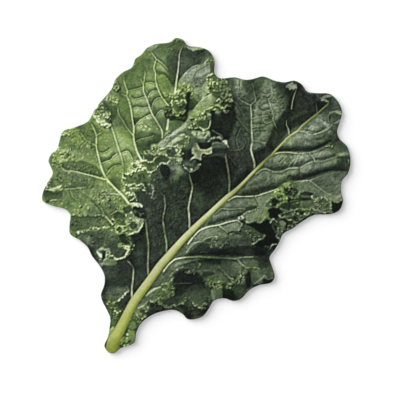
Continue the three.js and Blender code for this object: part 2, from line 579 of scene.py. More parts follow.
def ruffle(points, mean, spread, gap, facing, seed, wave=2.2, ragged=1.5):
    """Fill a patch with crinkled crests, `gap` units apart, that face an angle in radians."""
    area, depth = depth_in(flow(trace(points), 4, closed=True), 6)
    small, mid, wide, broad = (cloud(CLOUD_RADII[i], seed * 7 + i, area) for i in (1, 2, 3, 4))
    depth = depth + ragged * (mid * 0.55 + wide * 0.6 + small * 0.3)
    across = X[area] * np.cos(facing) + Y[area] * np.sin(facing)
    across = across + wave * (wide * 0.8 + broad * 0.9) + 0.56 * small + 0.8 * mid
    crest = across / gap
    slope_y, slope_x = np.gradient(crest, DOT)
    slope = np.hypot(slope_x, slope_y) + 0.04
    row = np.floor(crest).astype(int)
    part = crest - np.floor(crest)
    past, ahead = part / slope, (1 - part) / slope
    lit = 0.5 + 0.5 * np.clip(facing_light(slope_x, slope_y) / slope, -1, 1)
    strength = np.random.default_rng(seed + 9).uniform(0.7, 1.2, 400)[row % 400]
    surface = 0.10 + 0.32 * strength * ease(0, 3.6, past) * (1.15 - 0.6 * lit)
    shown = ease(-1.4, 0.5, cloud(2.6, seed + 5, area) + 0.4 * cloud(1.1, seed + 8, area))
    edge, off_x, off_y, value = cells(area, seed + 60, 3.0, warp=0.6)
    knob_light = np.clip(facing_light(off_x, off_y), -0.34, 0.34)
    knob = ease(0.1, 1.1, edge) * (0.28 + knob_light + 0.62 * value**1.5)
    band = np.exp(-((np.maximum(ahead - 0.2, 0) / (2.8 + broad)) ** 2)) * (0.3 + 0.7 * shown)
    surface = surface + band * (knob - 0.18) + (1 - band) * 0.16 * (knob - 0.5) + 0.045 * mid
    rim_width = np.maximum(0.8 + 0.45 * cloud(1.7, seed + 6, area), 0.3)
    rim = np.exp(-((np.maximum(ahead - 0.15, 0) / rim_width) ** 2))
    rim = rim * (0.15 + 0.85 * shown) * (0.45 + 0.55 * ease(-0.8, 0.8, cloud(1.1, seed + 24, area)))
    bright = 0.84 + 0.16 * small + 0.12 * lit
    surface = surface + (bright - surface) * rim
    border = np.exp(-(((depth - 0.6) / 0.8) ** 2)) * (0.3 + 0.5 * shown)
    surface = surface + (bright - surface) * border * 0.7
    cover = ease(-0.3, 0.4, depth)
    total = cover.sum()
    average = (surface * cover).sum() / total
    deviation = np.sqrt((((surface - average) ** 2) * cover).sum() / total)
    surface = mean + spread * (surface - average) / deviation
    floor = mean - 26
    surface = np.where(surface < mean, mean - floor * (1 - np.exp((surface - mean) / floor)), surface)
    cast = np.maximum(np.roll(cover, (3, 3), (0, 1)), np.roll(cover, (6, 4), (0, 1)) * 0.7)
    shade[area] *= 1 - 0.45 * cast * (1 - cover)
    blend(shade, area, cover, surface)
    blend(pale, area, cover, np.clip(rim + border * 0.6, 0, 1) * 0.25)
    blend(fresh, area, cover, np.clip(fresh[area] + 0.5, 0, 1))


# %% Crest and knob brushes


def roughened(line, spacing, amount, seed):
    """The line with seeded sideways nudges, and a random value from 0 to 1 along it."""
    draw = np.random.default_rng(seed)
    walk = np.concatenate([[0], np.cumsum(np.hypot(*np.diff(line, axis=0).T))])
    stops = np.arange(0, walk[-1] + spacing, spacing)
    nudge = np.interp(walk, stops, draw.uniform(-amount, amount, len(stops)))
    normal = np.stack([np.gradient(line[:, 1]), -np.gradient(line[:, 0])], 1)
    normal /= np.hypot(normal[:, 0], normal[:, 1])[:, None] + 1e-9
    return line + normal * nudge[:, None], stops / walk[-1], draw.random(len(stops))


def bead(x, y, radius, tint):
    """One bright lump with a shadow at its lower right."""
    spot = area_round(np.array([(x, y)]), radius * 4)
    behind = np.hypot(X[spot] - x - radius * 0.8, Y[spot] - y - radius)
    shade[spot] *= 1 - 0.42 * np.exp(-((behind / radius) ** 2))
    top = np.exp(-((np.hypot(X[spot] - x, Y[spot] - y) / radius) ** 4))
    blend(shade, spot, top * 0.85, tint)
    blend(pale, spot, top * 0.15, 1)


def crest(points, tint, reach, dark):
    """A crinkled rim: the leaf grows light up to it, and sinks to `dark` right below it."""
    smooth = flow(trace(points), 8)
    line, stops, values = roughened(smooth, 1.2, 0.9, int(smooth.sum() * 10))
    area, distance, place, side = along(line, max(reach * 2, 5))
    across = distance * side
    below = np.where(across > 0, np.exp(-FALLOFF * (across / reach) ** 2), 0)
    shade[area] += (dark - shade[area]) * below * 0.85
    above = np.where(across <= 0, np.exp(-FALLOFF * (across / 2.0) ** 2), 0)
    shade[area] += (tint * 0.62 - shade[area]) * above * 0.5
    value = np.interp(place, stops, values)
    half = 0.15 + 0.75 * value
    mask = (1 - ease(half - 0.2, half + 0.4, distance)) * ease(0.0, 0.55, value)
    blend(shade, area, mask, tint * (0.75 + 0.35 * value))
    blend(pale, area, mask * 0.2, 1)
    beads = np.random.default_rng(int(smooth.sum() * 10) + 1)
    for stop in stops[beads.random(len(stops)) < 0.55]:
        x, y = line[int(min(stop, 1) * (len(line) - 1))] + beads.uniform(-1.3, 0.5, 2)
        bead(x, y, beads.uniform(0.5, 0.95), tint * beads.uniform(0.7, 1.0))


def knobs(points, tint, count, size):
    """Small bright lumps scattered over a patch, each with a shadow at its lower right."""
    ring = trace(points)
    draw = np.random.default_rng(int(ring.sum() * 10))
    area, depth = depth_in(ring, 2)
    rows, columns = np.nonzero(depth > 0)
    for pick in draw.integers(0, len(rows), int(count)):
        x = X[area][rows[pick], columns[pick]]
        y = Y[area][rows[pick], columns[pick]]
        bead(x, y, size * draw.uniform(0.55, 1.25), tint * draw.uniform(0.72, 1.15))


def rim(points, tint, width, strength):
    """A thin broken rim that swells, shrinks and fades at random along its length."""
    smooth = flow(trace(points), 8)
    line, stops, values = roughened(smooth, 1.0, 0.5, int(smooth.sum() * 10) + 2)
    area, distance, place, side = along(line, 4)
    value = np.interp(place, stops, values)
    half = width * (0.15 + 0.6 * value)
    mask = (1 - ease(half - 0.3, half + 0.45, distance)) * (0.35 + 0.65 * value)
    blend(shade, area, mask * strength, tint * (0.78 + 0.34 * value))


def bead_row(points, tint, size, count):
    """Bright lumps strung along a line, as on the very edge of a crinkle."""
    stops = flow(trace(points), 6)
    draw = np.random.default_rng(int(stops.sum() * 10))
    for pick in np.linspace(0, len(stops) - 1, int(count)):
        x, y = stops[int(pick)] + draw.uniform(-0.5, 0.5, 2)
        bead(x, y, size * draw.uniform(0.5, 1.1), tint * draw.uniform(0.75, 1.1))


for brush in (crest, knobs, rim, bead_row):
    BRUSHES[brush.__name__] = brush
print(len(BRUSHES), "brushes in the tray")

# %% Ruffles
RUFFLES = [
    ("120,171 123,163 131,161 140,160 143,152 148,150 151,145 158,145 164,149 168,146 178,145 "
     "183,147 184,154 182,160 172,161 166,162 158,165 150,171 140,170 130,172", 112, 40, 5.5, 1.9, 1),
    ("110,206 124,204 134,206 138,216 142,222 136,230 124,234 112,232 108,222", 112, 42, 6, 1.7, 5),
    ("207,76 216,74 226,80 232,96 232,106 222,110 208,108 210,96 206,88", 102, 46, 6, 1.7, 6),
    ("192,126 193,120 198,114 204,110 212,105 222,102 222,106 214,110 210,113 209,120 209,127 "
     "204,129 196,129", 98, 40, 4.5, 1.7, 7),
    ("168,96 176,92 182,84 190,88 192,96 186,104 188,110 178,118 168,114", 104, 44, 6, 1.7, 8),
    ("268,200 274,192 281,186 284,182 294,182 298,190 298,204 290,208 282,210 276,206",
     84, 30, 4.5, 1.7, 10),
    ("278,218 286,208 300,206 312,200 320,198 332,200 330,212 310,214 296,222 284,230 276,226",
     74, 30, 4.5, 1.7, 11),
    ("206,278 222,276 236,268 244,268 246,282 238,296 222,294 212,292", 62, 26, 4.5, 1.7, 15),
    ("150,294 162,284 172,280 172,294 162,300 150,302", 84, 30, 4.5, 1.7, 16),
    ("128,316 140,306 150,302 150,312 142,320 134,330 128,328", 84, 32, 4.5, 1.7, 17),
    ("120,332 130,326 136,332 134,343 124,346 119,342", 110, 34, 6, 1.7, 18),
    ("96,236 110,238 128,240 132,250 122,258 108,262 98,258 92,246", 68, 26, 4.5, 1.7, 19),
    ("104,296 116,296 122,300 118,312 112,318 106,306", 76, 30, 4.5, 1.7, 20),
    ("93,110 102,104 110,114 111,126 100,126 94,119", 150, 46, 6, 1.7, 21),
    ("103,98 110,95 118,99 116,104 106,103", 130, 36, 6, 1.7, 22),
    ("113,80 119,80 119,88 113,88", 130, 34, 6, 1.7, 23),
    ("58,130 74,128 76,134 60,137", 128, 32, 6, 1.7, 24),
    ("56,148 70,148 74,156 66,160 54,160", 136, 34, 6, 1.7, 25),
    ("46,180 62,184 60,190 46,190", 120, 34, 6, 1.7, 26),
    ("180,298 190,296 208,298 206,308 196,308 182,304", 50, 22, 4.5, 1.7, 27),
]
for points, *settings in RUFFLES:
    ruffle(points, *settings)
print(len(RUFFLES), "ruffled patches")

# %% [markdown]
# ## Scale-like cells of the young leaf
#
# Between its long veins the young leaf swells into rows of cells, like scales. Each has a pale
# upper edge, is brightest right below it, and sinks into a dark crease above the next one.

# %% Cells of the young leaf
YOUNG_CELLS = """
glaze 94 1.5 .8 125,74 133,66 144,60 144,80 127,80
glaze 102 1 .8 127,81 142,80 143,86 137,88 128,90
tuck 122 4 .9 128,90.5 133,89.3 139,87.8 143,86.5
tuck 126 5 .9 129,95.5 133,98.7 138,98.3 145,96
tuck 138 5.5 .9 131,108.5 136,107 141,107.5 149,107
glaze 66 1.5 .9 133,118 139,117 143,116 148,113.5 141,119 136,123 133.5,126
glaze 112 1.5 .8 134,128 141,119 148,115 154,114 160,126 162,134 150,133 138,131
tuck 140 5 .9 133.7,127.5 137,122.5 142,118.3 147,115.3 153,113.3
glaze 70 2 .85 136,131 146,131 156,133 161,138 160,146 152,148 144,156 139,150 135,140
tuck 104 4 .85 136,141 141,138.5 147,137.5 153,135.5
glaze 54 2 .85 148,141 156,140 160,143 154,147 147,147
glaze 112 1 .8 145,71 154,70 155,80 145,80.5
tuck 130 4 .9 144.5,83 150,82.3 157,83.5
tuck 122 4.5 .9 148,97 150,92.5 154,90.3 158,91.3 160,94
tuck 126 6 .95 151.5,108 153,102.3 156,98.5 161,97.3 164,99.5
glaze 82 1.2 .8 148.5,98 151,97 151,104 150,108
tuck 130 6 .95 155,117.5 157,113.3 160,110.3 163,110 165.5,112.5
glaze 84 1.2 .8 152.5,106 156,107 155,112 153,113
tuck 116 5 .85 156,60 160,62 165,67 168,71
glaze 118 1.5 .85 158,77 161,75 165,77 169,83 173,90 174,95 168,96 162,92 159,85
fold_above 62 3 .85 157.5,76 160.5,73.3 165,74.5 169.5,80 173,86.5
line 104 .9 .5 161,78 165,84 169,91
line 102 .9 .5 161,83 165,89 168,94
glaze 64 2 .8 166,56 178,56 177,68 176,80 172,84 168,74
glaze 96 2 .8 157,46 170,45 168,54 160,58 156,54
glaze 100 2 .7 119,96 127,97 130,108 132,126 125,124 119,112
glaze 68 1.8 .9 103,102 110,104 117,106 117,114 112,120 110,112 104,109
glaze 60 1 .9 105,117 111,117 111,123 106,122
glaze 150 2.2 .9 113,128 118,126 124,128 130,137 134,146 134,152 130,152 126,149 121,152 117,148 114,138
glaze 124 2 .85 99,128 110,127 113,135 116,148 110,150 103,152 98,150 97,140
line 104 1.2 .6 98,141 103,139 108,139 112,141
tuck 128 4.5 .9 97.5,152 102,152.7 107,150.7 111,147.5
glaze 88 1.5 .85 100,156 107,157 112,154 110,159 105,160.5 101,161.5
tuck 140 5 .95 101.5,163 106,161 110.5,159.5 113.5,155.5 117,153.5
glaze 128 1.5 .8 103,165 110,161 116,155 120,155 121,163 114,164.5 110,168 106,173
tuck 168 5 .95 120,153.5 123,152 127,150.7 129.5,153.5 132,158.5
tuck 142 4.5 .95 108,171 110.5,168 114,165.7 118,165 122,165.3
glaze 74 1.8 .85 110,178 120,177 121,187 117,190 112,184
glaze 98 2 .8 62,136 78,130 92,124 96,136 96,150 86,152 72,148 60,148
glaze 124 2 .85 56,152 64,153 72,154 80,154.5 88,156 95,159 97,164 90,163 82,160 72,160 62,161
glaze 70 1.5 .95 62,161.5 72,160.5 82,160.5 90,163.5 96,166 100,172 100,176.5 88,174 74,170.5 66,169 60,166
glaze 90 2 .85 58,173 70,173 84,175 103,180 106,186 96,187 78,186.5 62,188 56,183
spray 76 3 .6 92,179 100,183
glaze 106 2 .7 62,191 84,189 104,190 118,197 124,203 108,208 100,206 90,199 86,200 98,212 74,212 66,206
spray 126 3 .7 92,197 97,199
knobs 150 16 .9 90,192 98,192 100,202 94,200
knobs 165 20 .8 95,188 106,189 110,198 118,196 122,202 110,203 100,194
knobs 165 9 .9 77,199 80,201 81,208 78,214 76,213 79,207
"""
paint(YOUNG_CELLS)

# %% [markdown]
# ## Dew and dust
#
# Tiny bright flecks lie on the young leaf. They are short strokes at random places inside a
# patch, drawn from a seeded generator so that they fall on the same spots each time.

# %% Flecks


def flecks(points, count, seed, faint, bright):
    """Scatter short bright strokes over a patch."""
    ring = trace(points)
    draw = np.random.default_rng(seed)
    area, depth = depth_in(ring, 2)
    rows, columns = np.nonzero(depth > 0)
    for pick in draw.integers(0, len(rows), count):
        x = X[area][rows[pick], columns[pick]]
        y = Y[area][rows[pick], columns[pick]]
        radius = draw.uniform(0.35, 0.9)
        angle = draw.uniform(0, np.pi)
        length = draw.uniform(0, 1.4)
        end = (x + length * np.cos(angle) + 0.01, y + length * np.sin(angle))
        spot, distance, place, side = along(np.array([(x, y), end]), 3)
        shade[spot] += draw.uniform(faint, bright) * np.exp(-((distance / radius) ** 2))


FLECKED = [
    ("55,140 62,130 92,126 96,150 96,162 60,160 50,155", 110, 1, 10, 34),
    ("48,164 104,168 122,198 112,222 72,212 46,200", 230, 2, 10, 36),
    ("136,118 150,112 158,128 140,134", 30, 3, 25, 60),
]
for patch_points, *settings in FLECKED:
    flecks(patch_points, *settings)
np.clip(shade, 14, 235, out=shade)
print("flecks on", len(FLECKED), "patches")

# %% [markdown]
# ## Veins
#
# A vein is a pale tapering line with a soft crease on its shaded side. The list gives each
# one its points, its width at both ends and its shade at both ends.

# %% Vein brush
VEIN_SCALE = 0.82


def vein(points, width, end_width, tint, end_tint, crease=0.2, paleness=0.3):
    """A tapering pale line with a crease beside it."""
    area, distance, place, side = along(flow(trace(points)), 6)
    half = (width + (end_width - width) * place) * VEIN_SCALE / 2
    sunk = np.exp(-(((distance - half - 0.9) / 0.9) ** 2)) * (0.45 + 0.55 * (side > 0))
    shade[area] *= 1 - crease * sunk
    mask = 1 - ease(half * 0.6 - 0.2, half + 0.35, distance)
    fade = 1 - ease(0.94, 1.0, place) * 0.6
    blend(shade, area, mask * fade, tint + (end_tint - tint) * place)
    blend(pale, area, mask * paleness, 1)


# %% Veins of both leaves
VEINS = [
    ("128.5,203 123,196 118,191 112,185 106.5,179 103.5,173.5 100.5,165.5 98.5,158 96.5,149.5 "
     "96,145.5 96,139.5 96,135 94,129.5 91,123.5", 2.9, 1.1, 205, 180),
    ("104.5,179 99.5,177.5 93,175.5 84.5,173.5 77,171.5 70.5,170.5 64.5,170 59,164 54,160",
     1.6, 0.7, 180, 150),
    ("96,145.5 86,140 83,136 80,132", 1.1, 0.6, 165, 140),
    ("86,141.5 80,147", 0.8, 0.5, 150, 150),
    ("96,135 101,132.5", 0.8, 0.6, 160, 160),
    ("122.4,178 122.4,172 122.9,167 121.4,158.5 119.5,152 116.8,144.5 114.6,137 112.5,130.5 "
     "110,123.5", 1, 1.5, 178, 185),
    ("141,159.5 137,152 134,142 133,135 133.5,128 132,119.5 130.5,108.5 128.5,100.5 126.5,96 "
     "127,91 125,85.5 123.5,79.5 124,77", 2.6, 1, 198, 165),
    ("133,135 127,128 123,121 118.5,114 117,106", 1.5, 0.6, 188, 140),
    ("126.5,96 121,93.5", 0.9, 0.6, 160, 160),
    ("162,137 161.5,130.5 158.5,124.5 154.5,118 151,112 148.5,104.5 146,98 143.5,92 143,86 "
     "143.5,81 144.5,74.5 144.5,69.5", 2, 0.8, 190, 160),
    ("143,84 140,78", 0.8, 0.5, 155, 155),
    ("168.5,106 165.5,102 161,96 158.5,90.5 156.5,85.5 155,78.5 155,73 153.5,68 154.5,63 "
     "155.5,58.5 152,53.5 150.5,51", 1.5, 0.9, 175, 170),
    ("155.5,58.5 159.5,61 163.5,64.5 168,69.5", 0.9, 0.6, 160, 135),
    ("174.5,93 176,81 177.5,71 178.5,61 179,54.5 180.5,49.5 183.5,43.5", 2.7, 0.7, 190, 150),
    ("168,118 166.5,129.5", 2.6, 2.8, 185, 190),
    ("112.5,224 107.5,218.5 104,214 100,207.5 96,203 90,198.5", 2.2, 0.8, 200, 78),
    ("103.5,215 98,214.5 94,215.5", 1, 0.6, 175, 175),
    ("63.5,189 70.5,188.5 79.5,187.5 88.5,187", 1, 0.7, 160, 160),
    ("101,193.5 108,193.5 114.5,193.5 119.5,194.5", 0.9, 1.2, 165, 165),
    ("70,190 73,197 79,200", 0.7, 0.6, 150, 150),
    ("104,176 108,172 112,168 / 104,124 99,131", 0.7, 0.6, 150, 150, 0.2, 0.25),
    ("131.5,299 131.5,288 132.5,279.5 133,271 133,267.5 130.5,263.5 127,260.5", 3, 1.4, 150, 140),
    ("148,276 147.5,268 147.5,259.5 148,251 148,243 147,236 146,227 145,220", 2.4, 1.6, 128, 118),
    ("166,251 166,242 164.5,233.5 163.5,227 162.5,218 164,211 165,204.5 164,198 164.5,194.5",
     2.2, 1.4, 135, 122),
    ("164,196 160.5,192", 1, 0.7, 100, 100),
    ("189,227 189,219.5 188.5,213 188,207 189.5,199.5 191,192 192,186 190.5,180.5 189,174.5 "
     "189,171", 2.8, 1.2, 160, 150),
    ("192,185 207,178.5 214.5,174.5", 1, 0.6, 75, 55, 0.1, 0.3),
    ("228.5,193 229,183 228.5,176 227.5,168.5 226,161 225,153.5", 2.6, 1.8, 128, 150),
    ("254,167 253.5,161 251.5,153.5 250.5,148 252,140.5 251.5,136 251,125 251,114.5 250.5,105 "
     "255,100 254,94.5 253,88 252,83", 2.6, 0.9, 178, 120),
    ("250.5,105 246,103 241,100 237,97.5", 1.3, 0.7, 150, 120),
    ("288.5,134 288,129.5 286,124.5 286,120", 1.7, 0.8, 150, 115),
    ("291,108.5 292,101 293.5,95.5 296,88.5", 1.4, 0.8, 135, 110),
    ("316.5,112 316,106 316,102", 1.1, 0.6, 110, 80),
    ("252,118 260,116 268,115 / 251,140 258,141 266,143 / 252,127 260,126 / 268,99 271,110 273,120 "
     "276,128 / 268,99 271,93 271,86 / 255,101 262,108 270,111 / 262,119 266,123 273,120",
     1, 0.7, 135, 135, 0.25, 0.15),
    ("232,100 238,106 244,116 / 236,116 244,126 249,132 / 226,154 232,160 236,166 / 240,128 "
     "236,140 240,152 / 234,150 242,148 246,140", 1, 0.7, 84, 84, 0.25, 0.15),
    ("219,203 216,198 213,190", 0.9, 0.6, 85, 60, 0.1, 0.3),
    ("271,155.5 275.5,153 281,152 289.5,152 298,153 309.5,152 318,149.5 324.5,146.5 330.5,143",
     1.6, 0.9, 180, 95),
    ("255.5,173.5 260.5,169.5 266,168.5 270.5,170.5 274.5,171.5 281,171 288,168 294.5,167.5 "
     "301,167 307,163 314.5,161 323,160.5 330.5,158 337,156", 1.6, 1.2, 150, 128),
    ("228,200 234.5,196.3 241,196 254.5,195.5 262,193.5 269.5,191 279.5,187.5", 1.8, 1.4, 188, 175),
    ("294.5,181.5 301,180.5 309.5,180", 1.3, 1.3, 168, 168),
    ("309.5,180 314.5,178 323,175 334.5,172.5 345.5,171", 1.3, 0.7, 165, 110),
    ("309.5,180 313,183 319.5,188 326,192.5 331,194.5", 1.4, 1, 160, 120),
    ("215,213 220.5,208.3 226,208.5 234.5,208.5 239.5,208 244.5,208.5", 1, 0.8, 124, 116),
    ("187.5,243.5 192,237.5 198,231 203,228 209.5,226 218,224.5 226,222 233,220.5 238,219.5",
     2, 1.5, 190, 185),
    ("219,225.5 224.5,229.5 228.5,233.5", 1.1, 0.8, 160, 140),
    ("163,271 167,265.5 171,261.5 175.5,258.5 184.5,257 193,256.5 201,256", 2.4, 1.2, 190, 165),
    ("199,256 209.5,256.4 218,256.7 230.5,257.6 237,258.5 243,257 253,256 260.5,258.5 264.5,263.5",
     0.9, 0.7, 138, 100),
    ("238,259 241,263 244.5,266", 1, 0.8, 135, 110),
    ("213.5,258.5 218.5,265.5 224.5,272 229.5,278", 0.7, 0.7, 92, 104),
    ("147,293.5 151,289.5 156,287.5 161,286", 2, 1.2, 165, 150),
    ("174.5,283 191,282", 0.8, 0.5, 78, 60),
    ("298,154 296,160 292,166 / 309,153 313,158 314,161 / 272,171 271,178 / 255,196 258,203 / "
     "300,168 300,176 / 194,236 197,239 206,238 214,233 / 300,130 310,132 316,133 324,131 330,127 "
     "/ 286,156 280,162 / 229,234 236,232 242,233", 1, 0.6, 128, 128, 0.25, 0.1),
]
for paths, *settings in VEINS:
    for points in paths.split(" / "):
        vein(points, *settings)
print(len(VEINS), "kinds of vein")

# %% [markdown]
# ## Dark hollows
#
# Where the curly edge stands away from the leaf, the eye looks into deep shade.

# %% Hollows
HOLLOWS = """
glaze 34 1.2 .95 168,114 180,119 187,117 186,121 182,122 170,120
glaze 28 1.2 .95 208,112 226,114 232,124 226,136 212,132 206,122
glaze 30 1.2 .95 210,142 226,144 224,150 212,148
glaze 34 1.2 .95 196,160 212,156 224,158 222,172 200,184 192,176
"""
paint(HOLLOWS)

# %% [markdown]
# Flaps are small pale pieces of leaf edge that fold over and catch the light.

# %% Flaps


def flap(points, tint, rim_tint, jag, seed):
    """A pale folded piece with a jagged rim."""
    ring = flow(trace(points), 5, closed=True)
    out = ring - ring.mean(0)
    out /= np.hypot(out[:, 0], out[:, 1])[:, None] + 1e-9
    ring = ring + out * np.random.default_rng(seed).standard_normal((len(ring), 1)) * jag * 0.5
    area, depth = depth_in(ring, 3)
    shade[area] *= 1 - 0.4 * np.exp(-((np.maximum(-depth, 0) / 1.6) ** 2)) * (depth < 0)
    body = tint + 16 * (cloud(2.6, seed + 50, area) * 0.6 + cloud(1.1, seed + 51, area) * 0.4)
    body = body + (rim_tint - body) * np.exp(-(((depth - 0.6) / 0.8) ** 2))
    mask = ease(-0.4, 0.5, depth)
    blend(shade, area, mask, body)
    blend(pale, area, mask * 0.25, 1)


FLAPS = [
    ("191,150 192,146 194,142 196,142 198,145 200,148 204,149 208,148 212,145.5 212,149 211,153 "
     "206,154 203,153 201,156 201,160 198,159 194,158 190,160 190,158 193,156 194,154 191,153",
     145, 188, 0.5, 1),
]
for points, *settings in FLAPS:
    flap(points, *settings)
print(len(FLAPS), "flaps")

# %% [markdown]
# ### Crinkles laid one by one
#
# The broad ruffles are still too even. The last and smallest marks are laid one by one: rims,
# lumps, deep pockets and glossy spots, each at its own place. A `crest` gives the shade below
# it as its last number before the points, `knobs` a count and a size, and `bead_row` a size
# and a count. We begin at the top, where the old leaf's frill folds over the young leaf.

# %% Crinkles at the top
TOP_CRINKLES = """
crest 170 1.6 34 172,116 178,117 184,113
glaze 160 .8 .9 147,50 150,46 157,44.5 156,47 152,50
glaze 92 1.5 .8 171,45 171,40 175,38 181,38.5 184,43 183,47 176,49
crest 165 1.5 90 171,42 173,39.5 176,39 177,41
crest 165 1.5 90 178,40 180,38.5 182,40
knobs 120 22 .6 166,43 182,41 182,50 172,54 166,50
glaze 62 2 .85 182,50 188,50 200,60 198,66 190,66 184,74 180,78 180,60
glaze 76 2 .6 180,58 190,58 192,64 184,68 180,66
glaze 165 .7 .95 187,46.5 193,47 200,46.5 203,48.5 199,49.5 195,50 193,51 191,49.5 188,48.5
glaze 90 1.2 .9 200,66 200,61 204,57 208,54.5 212,57 211,61 206,62 206,65 203,67
crest 165 1.2 80 204,62 207,60 209,59 210.5,60.5 213,61
glaze 78 1 .9 209.5,62 213,60 213.5,66 213,72 210,74
glaze 138 .8 .9 177.5,83 181,76.5 186,71 190,67.5 193,65.5 199,64 205,63 209,63 209.5,70 205,71 199,74
  195,77 190,79 186,82 181,86
line 104 .9 .8 184,77 188,72 192,68 196,66.5
line 92 .9 .85 193,77 196,72 200,69 204,66.5 208,64
glaze 152 .8 .8 195,78 199,73 205,69 209.5,66 209.5,72 204,74.5 199,76
glaze 100 1 .95 190,85 191,81 193,78 196,76 200,76.5 204,75 209,72 209.5,78 207,80 203,84 198,87 193,88
knobs 124 12 .8 193,79 206,76 206,80 198,85 193,85
glaze 140 .8 .9 190,91 193,89 199,88 203,85 206,82 208,80.5 209,82 208,88 206,91 204,94 203,100 200,98
  196,98 192,96
spray 96 2.2 .85 193,97 197,95 199,98
glaze 56 1.2 .9 192,98 197,101 197,104 194,107 191,112 188,118 184,121 186,110 188,100
line 90 .7 .8 191,96 193,101 196,104
glaze 84 1.5 .9 171,121 178,120 182,121 182,125 176,130 170,132
glaze 134 .8 .85 217,97 215,93 212,92 207,95 202,99 198,103 195,107 193,111 190,116 187,121 184,125 178,129
  172,133 175,134 182,131 187,128 190,122 194,118 198,115 201,111 206,108 211,105 215,101
line 168 .8 .85 172,132.5 178,128.5 184,124.5 187,120 190,115.5 193,110.5 196,106 200,101 205,97 212,92.5
knobs 145 34 1.2 177,86 184,83 190,86 192,92 187,96 180,96
knobs 150 22 1.2 164,92 174,93 178,97 170,99 165,96
crest 160 2 62 188,86 190,88 191.5,91 191,95
glaze 30 1.2 .95 186,93 190,92 190,98 189,104 187,111 184,115 178,117.5 173,118 168,117 168,114 176,115
  183,112 185,104
glaze 74 1.2 .9 171,100 184,98 186,103 183,110 178,114 173,110
knobs 150 8 1 173,101 184,99 184,104 177,106
crest 185 1.5 40 186,102 184,99.5 181,100 179,103 176,101 173,101
crest 185 1.5 40 171,101 172,104 171,107 173,110
glaze 120 .8 .9 173,109 176,111 179,111 183,107 184,110 182,113 178,115 175,113
crest 190 2 28 172,111 174,113.5 177,115.5 179,114 181,112.5 183,113 184.5,110
glaze 40 1.2 .9 164,107 171,106 172,112 170,118 165,117
knobs 95 10 1.2 164,107 171,107 171,117 165,117
glaze 66 1.2 .8 208,76 216,76 217,80 220,84 222,92 216,98 210,92 208,84
glaze 34 1.2 .8 222,100 232,102 232,108 228,112 222,106
crest 195 2 70 206.5,79 207,77 209,75 212,73.5 215,74 217,77
knobs 160 22 1.2 206,78 212,79 213,88 210,93 207,90
crest 170 1.5 62 212,84 215,82 218,85 221,84 222,80.5 225,81 226.5,84 227,88
crest 150 2 52 213,90 216,91.5 219,92 222,90 225,88 228,90
knobs 180 22 1.3 220,95 226,92 231,94 232,102 227,101 222,101
knobs 130 16 1.2 216,80 228,82 229,92 220,94
crest 180 2 34 200,113.5 203,112 206,110 209,108.5 213,107 216,105 219,103 222,101.5
crest 165 2 30 217,105 220,107.5 223,107.5 226,106 228,106
crest 165 2 30 223,110 226,112 228,111.5
glaze 120 .7 .9 215,111 219,111 219.5,115 217,116.5 215,115
knobs 135 20 1 192,122 198,120 199,128 193,129
glaze 30 2 .9 211,113 222,114 232,108 236,118 229,136 214,138 210,128
glaze 108 2 .8 234,79 243,79 243,88 246,92 242,97 236,96 234,88
line 140 1 .8 237,80 238,88
line 136 .8 .7 241,79 240,86
knobs 130 12 .8 235,87 246,87 245,95 236,95
ripen .95 2 .7 206,73 217,73 222,80 222,92 216,98 206,92
ripen .9 2 .7 164,92 176,84 184,82 192,88 190,96 178,100 166,99
"""
paint(TOP_CRINKLES)

# %% [markdown]
# The middle holds the tightest curls: pale rims that turn back on themselves, with deep shade
# behind them. Dark pockets go down before the rims that stand in front of them.

